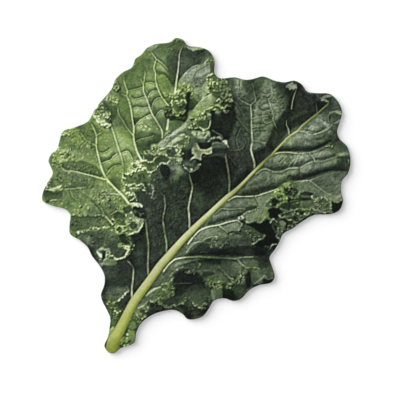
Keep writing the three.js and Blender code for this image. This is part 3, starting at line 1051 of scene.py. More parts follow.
# %% Crinkles in the middle
MIDDLE_CRINKLES = """
glaze 162 1.2 .9 189,110 187,119 181,126 172,132.5 157,143.5 163,147 171,139 179,133 187,127 194,120 202,111
ripen .3 2 .8 189,110 187,119 157,143.5 163,147 187,137 202,111
fold_below 92 2.2 .85 202,112 194,120.5 187,127.5 178,134 170,140.5 164,146.5
glaze 160 1 .9 183,133.3 176,137 170,141 165,146.5 171,145.3 178,141 185,137.5
spray 180 1.4 .7 180,135 172,141
fold_below 78 2 .8 187,137 180,142 172,146
ripen .8 2 .8 178,143 184,137.5 188,138 190,141 188,147 183,147.5
glaze 110 1.2 .85 189,117 196,114 204,111 210,113 210,119 200,120 194,127 190,128 186,125
knobs 176 34 1.1 190,117 204,111 210,113 208,120 198,120 193,128 187,127
knobs 60 12 .8 190,119 206,113 208,118 192,127
knobs 160 14 1.1 160,138 168,131 172,132 168,140 162,143
glaze 142 1.2 .95 150.5,145 153,143.5 158,144 162,148.5 164,152 160,155 154,154.5 151,150
knobs 192 22 1.2 151,144.5 158,144 163,150 160,155 153,152.5
knobs 80 8 .8 152,146 159,146 161,153 155,152
glaze 120 1.2 .9 161,149 166,149 167,158 170,162 165,161 162,155
glaze 116 1.2 .9 174,146 181,145 183,149 184,157 178,157 177,151
knobs 168 22 1.1 174,146 181,145 183,149 184,156 178,156
glaze 96 1.5 .9 167,158 176,158 181,162 180,168 173,170 167,166
knobs 125 16 1 167,158 176,157 181,162 178,169 171,169
glaze 186 .7 .95 175.5,157.5 180,158 182.5,160 179,161.5 176,161
glaze 34 1.4 .95 182,148 191,148 190,159 182,159
glaze 74 2 .9 188,137 197,139 196,143 192,148 184,148 187,142
glaze 30 1.5 .95 204,139 210,140 213,142 211,146 206,148 200,147 198,143
spray 118 4 .85 179,169 176,174 173,179
crest 172 2.4 56 150,153.5 153,155 156,153 160,154.5 165,154.8 168,157.5
crest 182 2.4 62 160,148.5 165,147.5 169,145.8 175,145.6 179,147.5
crest 150 2 58 166,157 172,157.5 176,160 180,162.5
crest 168 2.6 76 181,134.5 184.5,135.5 187.5,137 188,140.5 186,144
crest 122 2.2 76 183.5,146.5 186,142 187.5,139
line 84 .8 .6 170,158 176,158 182,160
glaze 152 1 .95 190.5,131.5 195,130.5 202,131.5 208,130.5 210,133 208,137.5 200,139 194,136
knobs 178 9 1.1 191,132 208,132 208,136 194,136
glaze 86 1 .8 199,138.5 205,138.5 205,142 200,142
glaze 62 1.2 .85 196,121 204,119 209,121 207,126 200,127
line 178 .9 .95 199.5,127 202,128.5 205,129.5 208,127.5 209.5,124 210,120
line 110 .9 .9 212,130 217,133 221,135 222,139
glaze 82 1 .95 212,142.5 216,141.5 221,143 226,146 224,149 213,149 211,146
glaze 40 1.2 .9 212,148 226,148 226,152 214,153
crest 178 2 70 209,141 211,139 214,137.5 218,137 221,139 223,141
line 130 .9 .8 212,143 216,142 221,143 225,145
glaze 205 .6 1 223,140 226.5,140 227,144 225,144 223.5,142
line 170 1 .9 226,144 228,146.5
glaze 60 1.5 .9 182,160 186,160 192,161 199,164 199,167 192,170 186,168 182,165
spray 96 1.6 .8 185,163 192,165
crest 160 3 34 183,165 187,169 190,171 194,170 198,167 199,164
glaze 205 .5 1 190,168 192,168 192,170 190,170
glaze 195 .5 .95 130,203 134,203 137,204 139,202 142,205 142,207 138,205.5 134,206
knobs 76 60 .8 148,196 166,190 176,196 176,230 160,246 150,236
knobs 64 60 .8 170,178 188,180 186,214 172,226
ripen .9 2 .7 120,171 123,163 131,161 140,160 143,152 148,150 151,145 158,145 168,158 150,171 140,170
ripen .8 2 .7 120,173 142,170 150,174 150,182 147,190 136,204 128,200 122,192
ripen .15 2 .8 166,149 170,147 176,148 177,153 174,157 168,155
ripen .2 2 .8 133,191 140,190 146,193 148,200 142,203 137,199 134,194
glaze 108 1 .8 122,166 126,164 130,166 129,169 126,171.5 122.5,173
rim 152 .9 .8 123,172.5 126,171.2 128,169.5 129,167.5
glaze 128 .9 .85 127,162.5 131,163.5 134,161 137,159.5 142,160.5 141,166 137,167 134,165 130,167 127,165
knobs 196 16 1 129,162 137,160 142,162 141,168 132,167
knobs 84 8 .8 128,162 136,161 140,164 134,168
glaze 112 .9 .85 129,168 134,168.5 137,169.5 134,171 131,172.5 128.5,171.5
glaze 66 .8 .95 141,162 146,161.7 150,163 154,163 156,166 154,168.5 151,170.5 148,170 146,167 143,165
glaze 66 1.1 .95 125,177 128,174.5 132,173 138,171.5 143,170 147,173 146,178 144,182 140,184 134,183.5
  128,182 124,180
knobs 58 16 .9 127,176 143,172 144,181 128,180
rim 196 1.1 .9 142,160.3 146,160.5 148,161.7 150,161.8 152,161.2 153.7,160 153.7,158.2 155.5,157.2
bead_row 205 .9 8 143,160.3 146,160.3 148,161.7 152,161.2 154,159
rim 188 1.3 .9 138,163 139.5,165.7 142,168 144,167.7 146,169.5 148,171.7
bead_row 215 1.1 7 138,162 139,165.5 142,168.3 144.5,167 146,169.5
rim 176 1.1 .85 127,174.5 129,173 131,174 131,172 133,170.8 136,171.7 139,169.8 141.5,169.5
bead_row 205 1 9 127,174 129,172.5 131,174 133,170.5 136,171.5 139,169.5
bead_row 200 1 3 123,177.5 124.5,178.5
glaze 62 .7 .9 144,155.5 147,154.8 152,155 153.5,157.5 152,160 147,159.5 144.5,158
knobs 178 9 .9 143,150 151,150 149,154 144,155
glaze 56 .8 .95 155,158 158,156.5 163,155.5 167,157 168,160 166,162 162,161.5 159,163 156,165 154,163
  154.3,160
glaze 32 1 .95 160,167 164,164.8 168,166 170,170 169,176 167,180 163,177 160,172
glaze 172 .8 .85 147,170.7 150,171 152.5,170.8 151.5,173 148.5,173
bead_row 190 .9 5 147.5,171.5 150,172.5 152,171.5
rim 152 1 .85 148,176 149.5,175 151,173.5
rim 160 1 .9 152,171 155,169.5 157,167 159,164.7 161,162.7 163,162.5 165,163.5 167,163 168.7,160.7 170,158.5
bead_row 186 .9 14 152,171 155,169.5 157,167 159,164.7 161,162.7 163,162.5 165,163.5 167,163 168.7,160.7
glaze 128 .7 .8 152,166.5 155,166 155.5,168.5 153,169.5
glaze 60 .8 .85 152,172.5 157,171.5 160,174 158,180 153,181 150,177
knobs 84 10 .8 150,174 159,173 157,181 150,180
rim 150 1.5 .85 122,180 123,184 124.3,188 123.6,191 126,194
glaze 62 .8 .85 126,187 129,186.5 130,189 127,190.5
rim 165 1.5 .85 124,183.7 127,184.7 131,184.2
rim 152 1 .85 131,184.2 134,183 136,185.5 139,184.2 142,184 144,186 146,189 147,191
rim 146 1.1 .85 130,188.3 134,187.3 137,188.3 140,187.3 142,185.5
bead_row 190 .9 14 124,183.7 127,184.7 131,184.2 134,183 136,185.5 139,184.2 142,184 144,186 146,189
bead_row 176 .8 8 130,188.3 134,187.3 137,188.3 140,187.3
glaze 184 .6 .85 141.5,188.8 144,189 145.5,190.5 142.5,190.4
glaze 92 1 .8 129,189.5 137,189 140,190.5 134,192 130,191.5
glaze 50 1.4 .95 133,192 139,190.5 146,192.5 150,196 150,206 141,204 137,200 136,196
glaze 42 1 .85 145,181 147,184 149,190 147,191 145,187 143.5,183.5
rim 112 1.4 .85 148,184 151,184.5 152.3,187 153,190 152,193 152.5,195 151,197
bead_row 138 .9 9 148,184 151,184.5 152.3,187 153,190 152,193 152.5,195
rim 126 .9 .8 146,192.6 149,192.8 152,193
rim 100 .9 .7 154,187 155,190.5
glaze 178 .7 .85 126.5,192.5 129.5,192 130.5,194.5 128,195.7
rim 142 1.5 .85 130,192 133,193.5 135,196.3 136.3,200
bead_row 205 1.1 6 126.5,192.5 129,192.3 131,194
bead_row 172 1 5 130.5,200.5 132,199 133.5,198
bead_row 168 .8 5 132,193 135,196.3 136.3,200
glaze 182 .8 .85 130,203 133,202 137,202.5 141,204 141.5,206 135,206 131,205
glaze 50 .7 .9 166,151 169,148.7 174,149 176,152 174,155.5 170,157 167,155
bead_row 180 .9 9 155,152 158,151 160,153 163,152.6 165,154 167,155.3
bead_row 168 1.1 5 179,152 183,153.5
"""
paint(MIDDLE_CRINKLES)

# %% [markdown]
# The upper right is flat leaf with long soft creases between its side veins, so it takes wide
# folds and hardly any knobs.

# %% Creases on the upper right
UPPER_RIGHT_CREASES = """
line 138 .9 .9 299,131 303,131.5 308,133.5 313,134 317,133 322,131 328,127 331,125
glaze 106 1.2 .7 290,139 295,135 300,132.5 304,134 306,139 301,142 292,143
glaze 92 1 .7 312,136 320,134 328,131 326,136 318,142 310,143
fold_below 50 1.4 .8 315,138.5 318,138.5 322,137 325,134
line 36 2.6 .8 277,150 284,149.3 292,149.2 300,149.6 308,149.8 315,147.5 322,144.5 330,140
fold_above 60 3 .7 286,163 288,160 290,157
fold_above 50 2.2 .8 268,168.5 277,169 284,168 290,165.5 297,165.8 304,163 311,159.6
spray 124 3 .7 293,160 298,157 303,155.5
spray 118 2.5 .6 276,156 284,155
line 128 .7 .6 297,153 296,157 291,162 288,166
line 128 .7 .6 309,153 313,157 314.5,161
fold_above 48 1.6 .9 336,157.5 343,157.3 350,157
glaze 78 2 .8 328,146 334,142 341,143 347,149 340,152 332,152
knobs 175 8 .7 325,146 333,144 332,148 326,149
glaze 52 1.5 .8 337,160 346,158 350,160 349,168 341,170 336,168
knobs 150 5 .8 346,159 350,160 350,163 347,163
spray 122 3.5 .7 304,168 314,165 324,163.5 334,160
fold_above 36 3.6 .9 298,181 304,178 312,175 322,171.5 332,169.5 342,170 349,170
spray 98 2.5 .6 264,173 269,176
fold_below 44 1.4 .8 286,178 289,175 292,176.5
spray 46 3 .8 291,178 297,176.5
fold_above 42 3.6 .8 238,195 248,194.5 256,194 262,191.5 270,189 280,186
line 84 1.2 .6 248,186 256,183 264,183 270,181
line 70 1 .6 244,191 252,188 260,188
glaze 62 1 .8 333,112 337,113 341,115 339,119 334,118 331,115
line 124 1 .8 328,121 327.5,116 330,112.5 335,110.8 341,111.5
line 150 1 .8 336,112 339,113 341.5,114
line 140 1 .7 334,123 337,121 341,119
glaze 150 .7 .9 316,93.5 318,96.5 321,97.5 323,95.5 327,94.5 331,95.5 328,97 325,98 324,99 328,101 327,102
  324,101 321,100 320,98 317,96
line 192 1 .9 321,100 324,99.5 328,101.5
glaze 172 .6 .95 285,87 286,84.5 289,83.5 292,82 293,84 296,84 296.5,88 294,88.5 293,90 291.5,88.5 289,90
  288,88
spray 60 2.2 .8 292,118 298,114 306,111
line 142 .7 .8 270.5,84 272,92 270,98 268,99 270,105 272.5,112 273,116 272.5,120 274,124
line 130 .7 .8 268,99 262,97 258,101 256,104
line 130 .7 .8 256,103 259,107 262,111 266,110.5 271,109
line 132 .7 .8 251,125 258,124.5 265,124.5
line 118 .7 .8 251,142 257,141.5 261,142 265,145
fold_above 62 2 .8 252,123.5 258,123.3 264,123
fold_above 58 2 .8 263,120 266,120 270,118 273,114.5
fold_above 60 2 .8 257,104 261,109.5 270,108
fold_above 60 2 .8 262,96.5 268,97.5 270,94
fold_above 58 2 .8 253,131.5 258,130.5 266,131
spray 124 2 .7 263,84 268,82
spray 118 2 .7 264,90 269,88
spray 128 2 .7 275,98 279,104 282,108
spray 112 2 .7 254,118 260,118
spray 80 2.5 .7 256,84 259,92
knobs 132 26 .8 272,94 282,94 285,108 276,112
ripen .75 2 .7 253,82 262,78 264,84 261,96 256,98
ripen .6 2 .6 328,144 340,142 347,149 340,154 330,152
ripen .5 2 .6 330,112 341,112 341,122 332,124
"""
paint(UPPER_RIGHT_CREASES)

# %% [markdown]
# On the right the frill rolls over the leaf's edge. Its outer side is pale and its inside dark.

# %% Crinkles on the right
RIGHT_CRINKLES = """
glaze 92 1.5 .9 311,180 318,176.5 328,173.5 338,172 348,171.5 343,178 340,184 341,194 334,194 328,192
  320,187 314,183
spray 78 3 .7 316,181 323,183 330,187
spray 130 2 .8 331,196 336,198 340,197
glaze 24 .8 1 331,200.5 337,201.5 342,199 343,203 340,208 335,211 331,211 331,206
crest 150 1.2 26 327,197 331,199.5 335,201 338,201.5 342,198.5
glaze 116 1.5 .85 294,183 300,181.5 308,181 309,184 306,189 300,192 296,188
line 150 .9 .8 298,193 301,190 304,186 305,183
glaze 92 1 .9 312,198 318,198 324,197 330,200 331,209 327,212 320,211 314,209 311,206
glaze 74 1 .85 319,199 325,200 327,205 325,208 320,206
knobs 150 22 .9 312,198 320,197 330,202 326,211 314,208
crest 175 1.2 80 311,196.5 314,199 316,200.5 318,198 321,197 324,197 327,199 330,201.5
crest 170 1.2 60 331,212 331,207 329,203 330,201
crest 170 1.2 70 311,206 314,208.5 318,210.5 323,212.5 329,212
glaze 88 2 .85 296,184 311,181 312,190 304,191 296,190
glaze 38 1 .9 301,191.5 306,191 312,192.5 312,194.5 304,195 300,194
glaze 34 1 .95 298,197.5 302,197 310,197.5 311,199.5 304,200.5 299,200
glaze 84 1.5 .85 299,201.5 311,200.5 312,206 306,208 299,206
rim 142 1 .85 296,195 299,194 301,192 303,190
glaze 32 1 .95 283,188 287,188 291,187 295,188 297,191 295,194 290,195 286,193
knobs 92 18 .9 284,188 296,188 295,194 286,193
glaze 150 1 .8 282,184 286,183 290,182.5 293,184.5 290,187 285,187
knobs 185 12 1 282,184 286,183 290,182.5 293,184.5 290,187 285,187
glaze 118 1.2 .9 257,197 264,194.5 271,192 274,193 274,196 270,198.5 266,202.5 263,206 259,206
rim 156 1.2 .85 263,206.5 264.5,204 267,200.5 270,198 274,196
glaze 146 .9 .9 273,192 277,189 281,186.5 283,189 282,192 285,195 287,197.5 287,200 283,201 281,199 278,200
  275,197
glaze 64 .7 .9 276.5,195 280,194 282,196 280,198.5 277,198
knobs 188 14 1 273,192 281,187 283,192 287,199 283,200 276,196
knobs 70 5 .8 274,191 280,190 286,198 278,197
glaze 28 .8 .95 271,200 274,198 278,199.5 278,202 275,205 272,205
rim 150 1.1 .85 286,201.5 283,202 280,203 277.5,205 276,207.5
glaze 48 .9 .95 279,205 282,203 288,202 290,205 289,209 283,208.5 279,207.5
glaze 24 .7 .95 288,196 290,196 290,206 288.5,207
bead_row 176 1 5 290,196.5 293,198 297,197
glaze 44 1 .9 289.5,199 298,198.5 299,202 298,207 290,207.5
rim 112 .9 .8 290,204.3 294,203.3 298,202
line 92 .8 .7 290,201 294,200.3 297,200.6
glaze 20 .7 1 267,210 271,207.7 277,207.5 281,209.5 281.5,212 279,213.5 279,217 275,218.3 270,217.7
  268,215.5 269,213
rim 128 .9 .8 280,208.5 284,209.5 287,211.5 289,214.5
glaze 92 1 .85 290,210 295,208.5 300,207.5 306,208 311,207 311,214 304,217 300,220 294,218 290,216
glaze 24 .7 .95 295,210.5 297.5,210 298.5,213 297,215.5 295,214
glaze 34 .7 .9 299,210.5 302.5,210 303.5,213 301,215 299.5,213
glaze 30 .7 .9 293,216 296,216 298,219 297,222 294,221
bead_row 205 1 2 297.3,213 297.8,213.6
bead_row 172 1 10 291,210 295,209 299,208 303,208.2 305,210
bead_row 182 1.1 9 304,213.5 306,215 308,213.5 309,211 310,208
knobs 150 16 .9 290,210 311,208 308,214 299,218 291,216
glaze 46 1 .9 281,218 286,219 291,221 298,220 299,224 293,228 286,231 284,226 282,221
knobs 128 34 .9 283,220 299,219 297,225 287,231
glaze 26 .7 .9 282,218 286,218.5 289,221.5 286,222 283,220.5
bead_row 196 1.1 12 279,215 281,217 284,216 286,217.5 288,219.5 290,219.5
rim 168 1.3 .85 279,215.2 281,217 284,216.2 286,217.7 288,219.6 290,219.8
glaze 60 1 .95 269,220 272,218 278,218 280,221 280,228 281,234 279,240 276,236 276,231 272,227
glaze 20 .8 1 246,223.5 249,223.5 252,222.3 255,221.7 258,223.3 261,222.7 264,220.7 267,218.5 269.5,221
  271,224 272,228 274,230 274,232 276.5,233.5 275.5,236 277,239 278.5,243 276,243.5 272,243.5 269,245.5
  265,246 262,247.5 258,246.5 255,245 256,242 260,239.5 263,238.3 265.3,236 264.5,234 261,233 257,230.5
  253,227.5 249,225.5
bead_row 185 1 8 270,222.5 271,220 273.5,219 276,221
glaze 130 .8 .9 279,221 282,220 285,222 285,225 282,226 279.5,224
glaze 26 .7 .85 273,225 277,226 278,229 275,229.5
glaze 102 1 .85 277.5,227 281,226.5 283,229 281,234 278,234
knobs 160 14 1 277,226 283,226 282,232 278,235
bead_row 178 1 9 276,234.5 277,237 279,239 278.3,242
bead_row 180 1 13 265,246 268,247 270,249 271,246 272.3,244.2 274.5,243.5 277.5,244.5
glaze 30 .8 .9 272,246 275,245.5 276.5,248 273,249
glaze 118 .8 .95 243,213.5 247,211.7 252,210.2 256,208.2 259,206 262,205.5 266,206 268,207.5 267,210 266,213
  268,214.7 267,216 265,218 263,220.5 261,222 259,222.5 257,220.7 254,220.2 252,221.5 250,222.5 247,222.5
  245,220.5 246,218 244,216
bead_row 188 1.1 9 246,221.5 249,222 251.5,220.8
bead_row 182 1 10 256,220.5 259,221.8 262,219.8 264.5,217.5
bead_row 165 .9 10 244,213.5 248,211.5 253,209.7 257,207.5
glaze 52 1 .9 244.5,211 248,209.5 254,208.5 257,206 252,205.5 246,207
bead_row 196 1.2 9 238,217 241,216 243,217.3 241.5,219 238.5,218.5
glaze 36 .8 .85 238,219.5 242,220 245,222.5 243,224 240,222
bead_row 190 1.1 8 238,221 241,223 240.5,226 238.5,229
glaze 24 .7 .9 247,231.5 251.5,231 253,233 249,233.7
knobs 150 26 .9 243,228 256,231 262,235 255,241 249,238
bead_row 200 1.1 16 249,239.5 250,242 252,243.8 254,242.8 256,240.8 259,238.8 262,237.8 264.5,235.5
ripen .16 2 .9 236,204 262,205 284,184 298,192 290,206 312,206 312,214 298,224 280,242 268,250 246,246
  236,230
ripen .75 1.5 .7 272,191 281,186 288,198 286,203 276,208 274,198
ripen .7 1.5 .7 263,209 268,207 269,216 265,217
ripen .7 1.5 .7 276,226 284,226 282,235 277,235
ripen .5 1.5 .7 245,226 262,233 256,240 249,236
ripen .6 1.5 .6 282,183 293,182 292,187 283,188
ripen .5 1.5 .6 282,209 290,210 291,220 284,218
ripen .08 2 .9 308,194 332,198 332,213 312,213 308,204
ripen .6 1.5 .7 319,199 326,201 327,207 321,206
"""
paint(RIGHT_CRINKLES)

# %% [markdown]
# At the bottom the leaf is mostly in shade. Broad dark glazes come first, and a few rims and
# knobs catch the light in front of them.

# %% Crinkles at the bottom
# The two dark lines near the end of this recipe run along the lower cut edge. They are painted shade for
# the mat's rounded edge.
BOTTOM_CRINKLES = """
glaze 98 1.5 .85 194,238 200,231.5 207,228.5 215,227 219,228 224,231.5 228,235 222,238 214,237 205,239
  199,242
line 130 .8 .7 201,241 206,238 212,236 218,238
knobs 175 6 .7 215,236 221,236 221,240 216,240
glaze 104 1.2 .85 222,226 230,223.5 238,221.5 239,229 233,231 228,232 224,229.5
glaze 84 1 .85 229,235 238,234 239,244 233,246 229,242
glaze 76 1.2 .85 240,234 248,234 251,242 246,245 240,243
line 42 1.8 .85 228,233 232,231.5 236,232.5 240,233.5
line 112 .8 .7 229,236 229.5,240 231,244 234,245.5
line 152 .9 .8 186,252 190,246.5 195,242.5 199,241
glaze 40 1.5 .9 189,254.5 194,248 200,243.5 208,243 212,247 224,248 234,246 250,246 262,250 262,255 230,255
  210,254
line 92 .8 .7 200,252 203,251.5 207,252
crest 125 1.2 42 211,247 213,244 214.5,242 217,245.5 220,246.5 223,246 225,243 228,242
line 70 .9 .7 170,272 176,267 184,263.5 192,261
crest 132 1.2 60 170,277 172,274 175,271 178,268.5 182,266
glaze 74 1.2 .85 190,262 200,260 212,260 218,266 210,267 200,269 192,268
glaze 34 1.5 .95 173,277 179,271 186,268 190,270 198,274 204,280 205,288 200,290 190,288 178,296 174,290
  172,282
knobs 140 9 .9 187,271 195,270 196,273 188,274
glaze 64 1.8 .85 190,286 197,284 204,287 206,293 205,300 200,306 194,304 190,298 188,291
glaze 70 1.5 .9 215,258.5 237,260 243,266 246,268 241,275 232,277 226,270 220,263
glaze 86 1.2 .9 198,276 203,270 210,268.5 216,270 222,274 228,279 231,283 225,285 216,283 208,281 202,280
line 54 1 .7 200,277 206,274 212,274 218,277
line 108 .7 .8 213,259 216,262 220,267 224,272 229,277 232,279.5
glaze 46 1.2 .9 243,270 250,271 252,278 251,283 246,285 243,280
glaze 104 1 .9 251,272 262,270 270,272 273,277 271,280 265,280 261,277 258,280 255,283.5 251,281
glaze 28 .8 .95 261,278 264,277 268,281 267,283.5 260,284
crest 152 1.2 34 254,283 257,280.5 260,279 262,276.5 264,276.5 266,279.5 270,280 272.5,277
crest 118 1.2 56 241,276 243,272 247,268 252,267 255,268
line 132 .9 .8 237,259 240,262 243,265 246,267
glaze 54 1.5 .85 205,283 216,283 226,285 231,280 243,278 246,284 243,292 238,299 228,298 214,299 209,298
  206,292
glaze 30 1 .85 222,289 228,288 228,298 222,298
glaze 32 1 .85 228,291 236,292 236,299 229,299
glaze 92 1 .85 212,288 220,288 222,298 213,299
knobs 132 16 1 207,279 213,279 213,285 208,286
knobs 142 16 1.1 214,281 222,281 222,288 215,288
knobs 150 12 1.1 224,283 231,282 231,287 225,288
knobs 122 22 1 231,278 243,277 244,286 232,286
knobs 80 22 1 233,286 245,286 240,296 233,294
crest 138 1.2 46 231,280 233,282.5 236,280 239,276 242,278 241,283 243,285
crest 118 1.5 40 206,283 209,285 213,286 217,288 222,287
glaze 98 1 .9 142,300 147,293 153,289 160,287 163,289 163,294 158,297 154,301 148,301
knobs 122 16 .6 146,296 160,289 160,295 148,300
line 172 1.4 .9 146,295 150,291.5 155,288.5 160,286.5
glaze 84 1 .85 162,285 168,281 173,278 172,284 169,290 168,296 163,297 163,289
crest 160 1 60 162,284.5 166,283.5 168.5,286 167,288.5 163,288.5 164.5,290.5 167.5,292.5 168,296 166,298.5
  162,297.5
crest 160 1.4 36 150,300.5 153,302 155.5,301.5 157,299 160,296.5 162,297.5 166,298.5
crest 145 1.2 40 168,284 170,281 172,278.5 173,277
knobs 120 5 1.2 171,288 175,288 175,292 172,293
glaze 36 1.2 .9 140,318 146,311 150,304 156,302 160,304 166,308 176,308 178,310 160,312 148,316
knobs 62 16 1 152,303 166,304 170,308 154,311
glaze 58 1.5 .8 160,300 170,296 182,297 190,299 192,304 182,304 172,306 162,304
crest 132 1.5 40 159,303 162,304 166,306.5 170,307.5 172,306 175,305 178,304 181,302 183,303 184.5,301
  187,298 189,298.5 191,300
glaze 44 1.2 .85 184,303 194,305 202,308 207,302 208,308 203,314 194,318 187,317 184,312
knobs 62 20 1.1 186,304 206,306 202,314 188,316
crest 158 1.2 34 193,303 196,305.5 199,306.5 203,305 204,302.5 206,304
knobs 130 6 1.1 201,306 206,306 206,310 202,310
glaze 100 1 .9 131,315 136,309 140,306 143,304 147,306 149,308.5 147,311 144,312 146,315 143,318 140,320
  139,322 136,320 132,318
glaze 40 .8 .9 140,310 144,309 145,313 141,314
knobs 128 22 1.2 132,314 140,306 148,307 142,318 136,320
crest 158 1.2 60 138,309 141,305.5 144,305 147,308 149,308
crest 150 1.2 50 131,313.5 134,313 138,316.5 142,318.5 145,316
glaze 56 1.2 .85 131,319 136,322 140,324 136,330 132,330 129,326 127,332 123,338 121,337 126,328
glaze 112 1 .9 128,323 132,320 135.5,323 135.5,327 131,329
glaze 116 1 .9 128,332 133,330 135,338 134.5,343 130,344 128,338
knobs 140 16 1.3 120,340 124,336 128,338 128,344 124,346.5 121,346
glaze 66 1.8 .8 104,287 116,285 128,287 128,292 120,298 112,302 106,300
spray 86 2.5 .8 117,290 124,289
glaze 70 1.5 .85 108,302 116,300 128,294 130,300 124,310 118,322 112,330 110,318 107,308
glaze 42 1.2 .85 117,304 122,299 128,293.5 129,299 124,306 119,309
knobs 100 34 1.1 107,300 116,304 120,312 114,324 110,322 108,310
crest 172 1.5 44 113.5,303 117,300.5 121,297.5 125,293.5 128,290
line 100 1 .7 126,286 128,288 128,291
crest 165 1.2 60 107,303 109,302 110.5,305 111,308
crest 168 1.2 56 113,307 115,310 118,312 120,311
glaze 150 1 .9 108.5,330 113,326 114,329 111,335 108,339
fold_below 42 2.6 .9 204,257.8 212,258 220,258.5 230,259.5 236,260.5
glaze 44 1.5 .85 204,258 214,258.5 222,263 216,264 208,262
fold_below 50 2.4 .8 243,258 252,257.5 260,260 266,266
line 44 1.4 .8 252,285 258,284.5 266,284.5 273,281.5
line 44 1.6 .8 184,317.5 192,318.5 200,317.5 206,313
ripen 1 1.5 .95 107,300 118,304 122,300 120,318 114,330 108,340 108,320
ripen 1 1.5 .95 120,346 120,338 126,328 128,320 136,320 136,345
ripen .55 2 .8 131,316 142,303 150,308 144,320 136,322
ripen .4 2 .8 142,300 153,287 168,282 174,277 170,298 150,303
ripen .38 2 .8 205,283 231,279 244,277 246,286 238,300 210,300
ripen .3 2 .8 160,300 190,297 208,302 204,318 184,318 182,308 160,308
ripen .22 2 .8 215,258 262,258 274,276 250,284 236,278
glaze 92 1.3 .85 222,259 232,260.5 238,263 242,268 238,274 230,275 224,269 221,264
glaze 92 1 .85 242,259 250,258.5 257,260 257,265 247,266.5 244,263
glaze 58 1.2 .85 258,257 266,259 268,266 260,267.5 258,262
glaze 92 1.2 .85 251,270 258,270 264,268 269,269 271,276 266,281 256,283.5 251,281
glaze 22 .9 .9 262,279.5 268,277.5 272.5,278 272.5,283 265,284
glaze 36 1 .85 244.5,273 250,272.5 250.5,286 246,287
glaze 45 1.5 .8 234,284 244,284 246,290 242,297 234,297
glaze 24 1.2 .9 222,291 233,290 233,298 224,299
glaze 95 .9 .85 211,290 215,290 215,298 211,298
glaze 84 .9 .85 216.5,289 221.5,289 221.5,298 217,298
glaze 104 .8 .7 243,269.5 247,269.5 246,273.5 243,273
line 150 1 .8 200,256.5 212,257.2 233,258.3 240,257 252,256.5
line 128 .9 .8 237,258 240,263 244,266
line 138 .9 .8 245,267.5 249,267 255,267 259,268.5
line 105 1.6 .8 218,266 222,269.5 226,274 230,278
line 145 1.4 .8 229,277.5 233,278.5
line 112 .8 .7 203,270.5 209,269.5 215,271
line 150 .9 .8 254,283 259,280 262,277 264,275 267,278.5 272,277.5
crest 150 1.4 44 238,283 239.5,277 240.5,271 243,275 243.5,282
knobs 150 7 .9 213,284.5 219,284 219.5,289.5 214,290
knobs 128 5 .8 224,284 229,284 229,288 224,288
knobs 118 5 .7 208,279 213,280 213,284 208,284
fold_below 44 2 .8 182,265 190,262.5 200,260 208,260
line 98 1 .8 197.5,276.5 201,272.5 206,269.8 213,269.5
glaze 50 1 .8 203,272 212,271.5 214,274 206,277 201,277.5
line 98 1 .8 202,281 207,277.5 213,275 219,274.5
crest 122 1.3 40 186,272 190,272 194,269.5 198,267.5 199.5,264 197,261
glaze 36 1 .8 194,272 200,274 204,282 204,288 197,286
line 78 .8 .7 174,283.3 183,282.6 191,282.6
glaze 56 1.2 .7 186,289 196,287 203,291 200,299 188,299
glaze 42 .8 .8 222,283 226,283 225,288 222,288
line 118 1 .7 211,290 213,294 213.5,299
"""
paint(BOTTOM_CRINKLES)

# %% [markdown]
# The left side is the edge of the young leaf, so its rims are yellow-green and its shade is
# less deep.

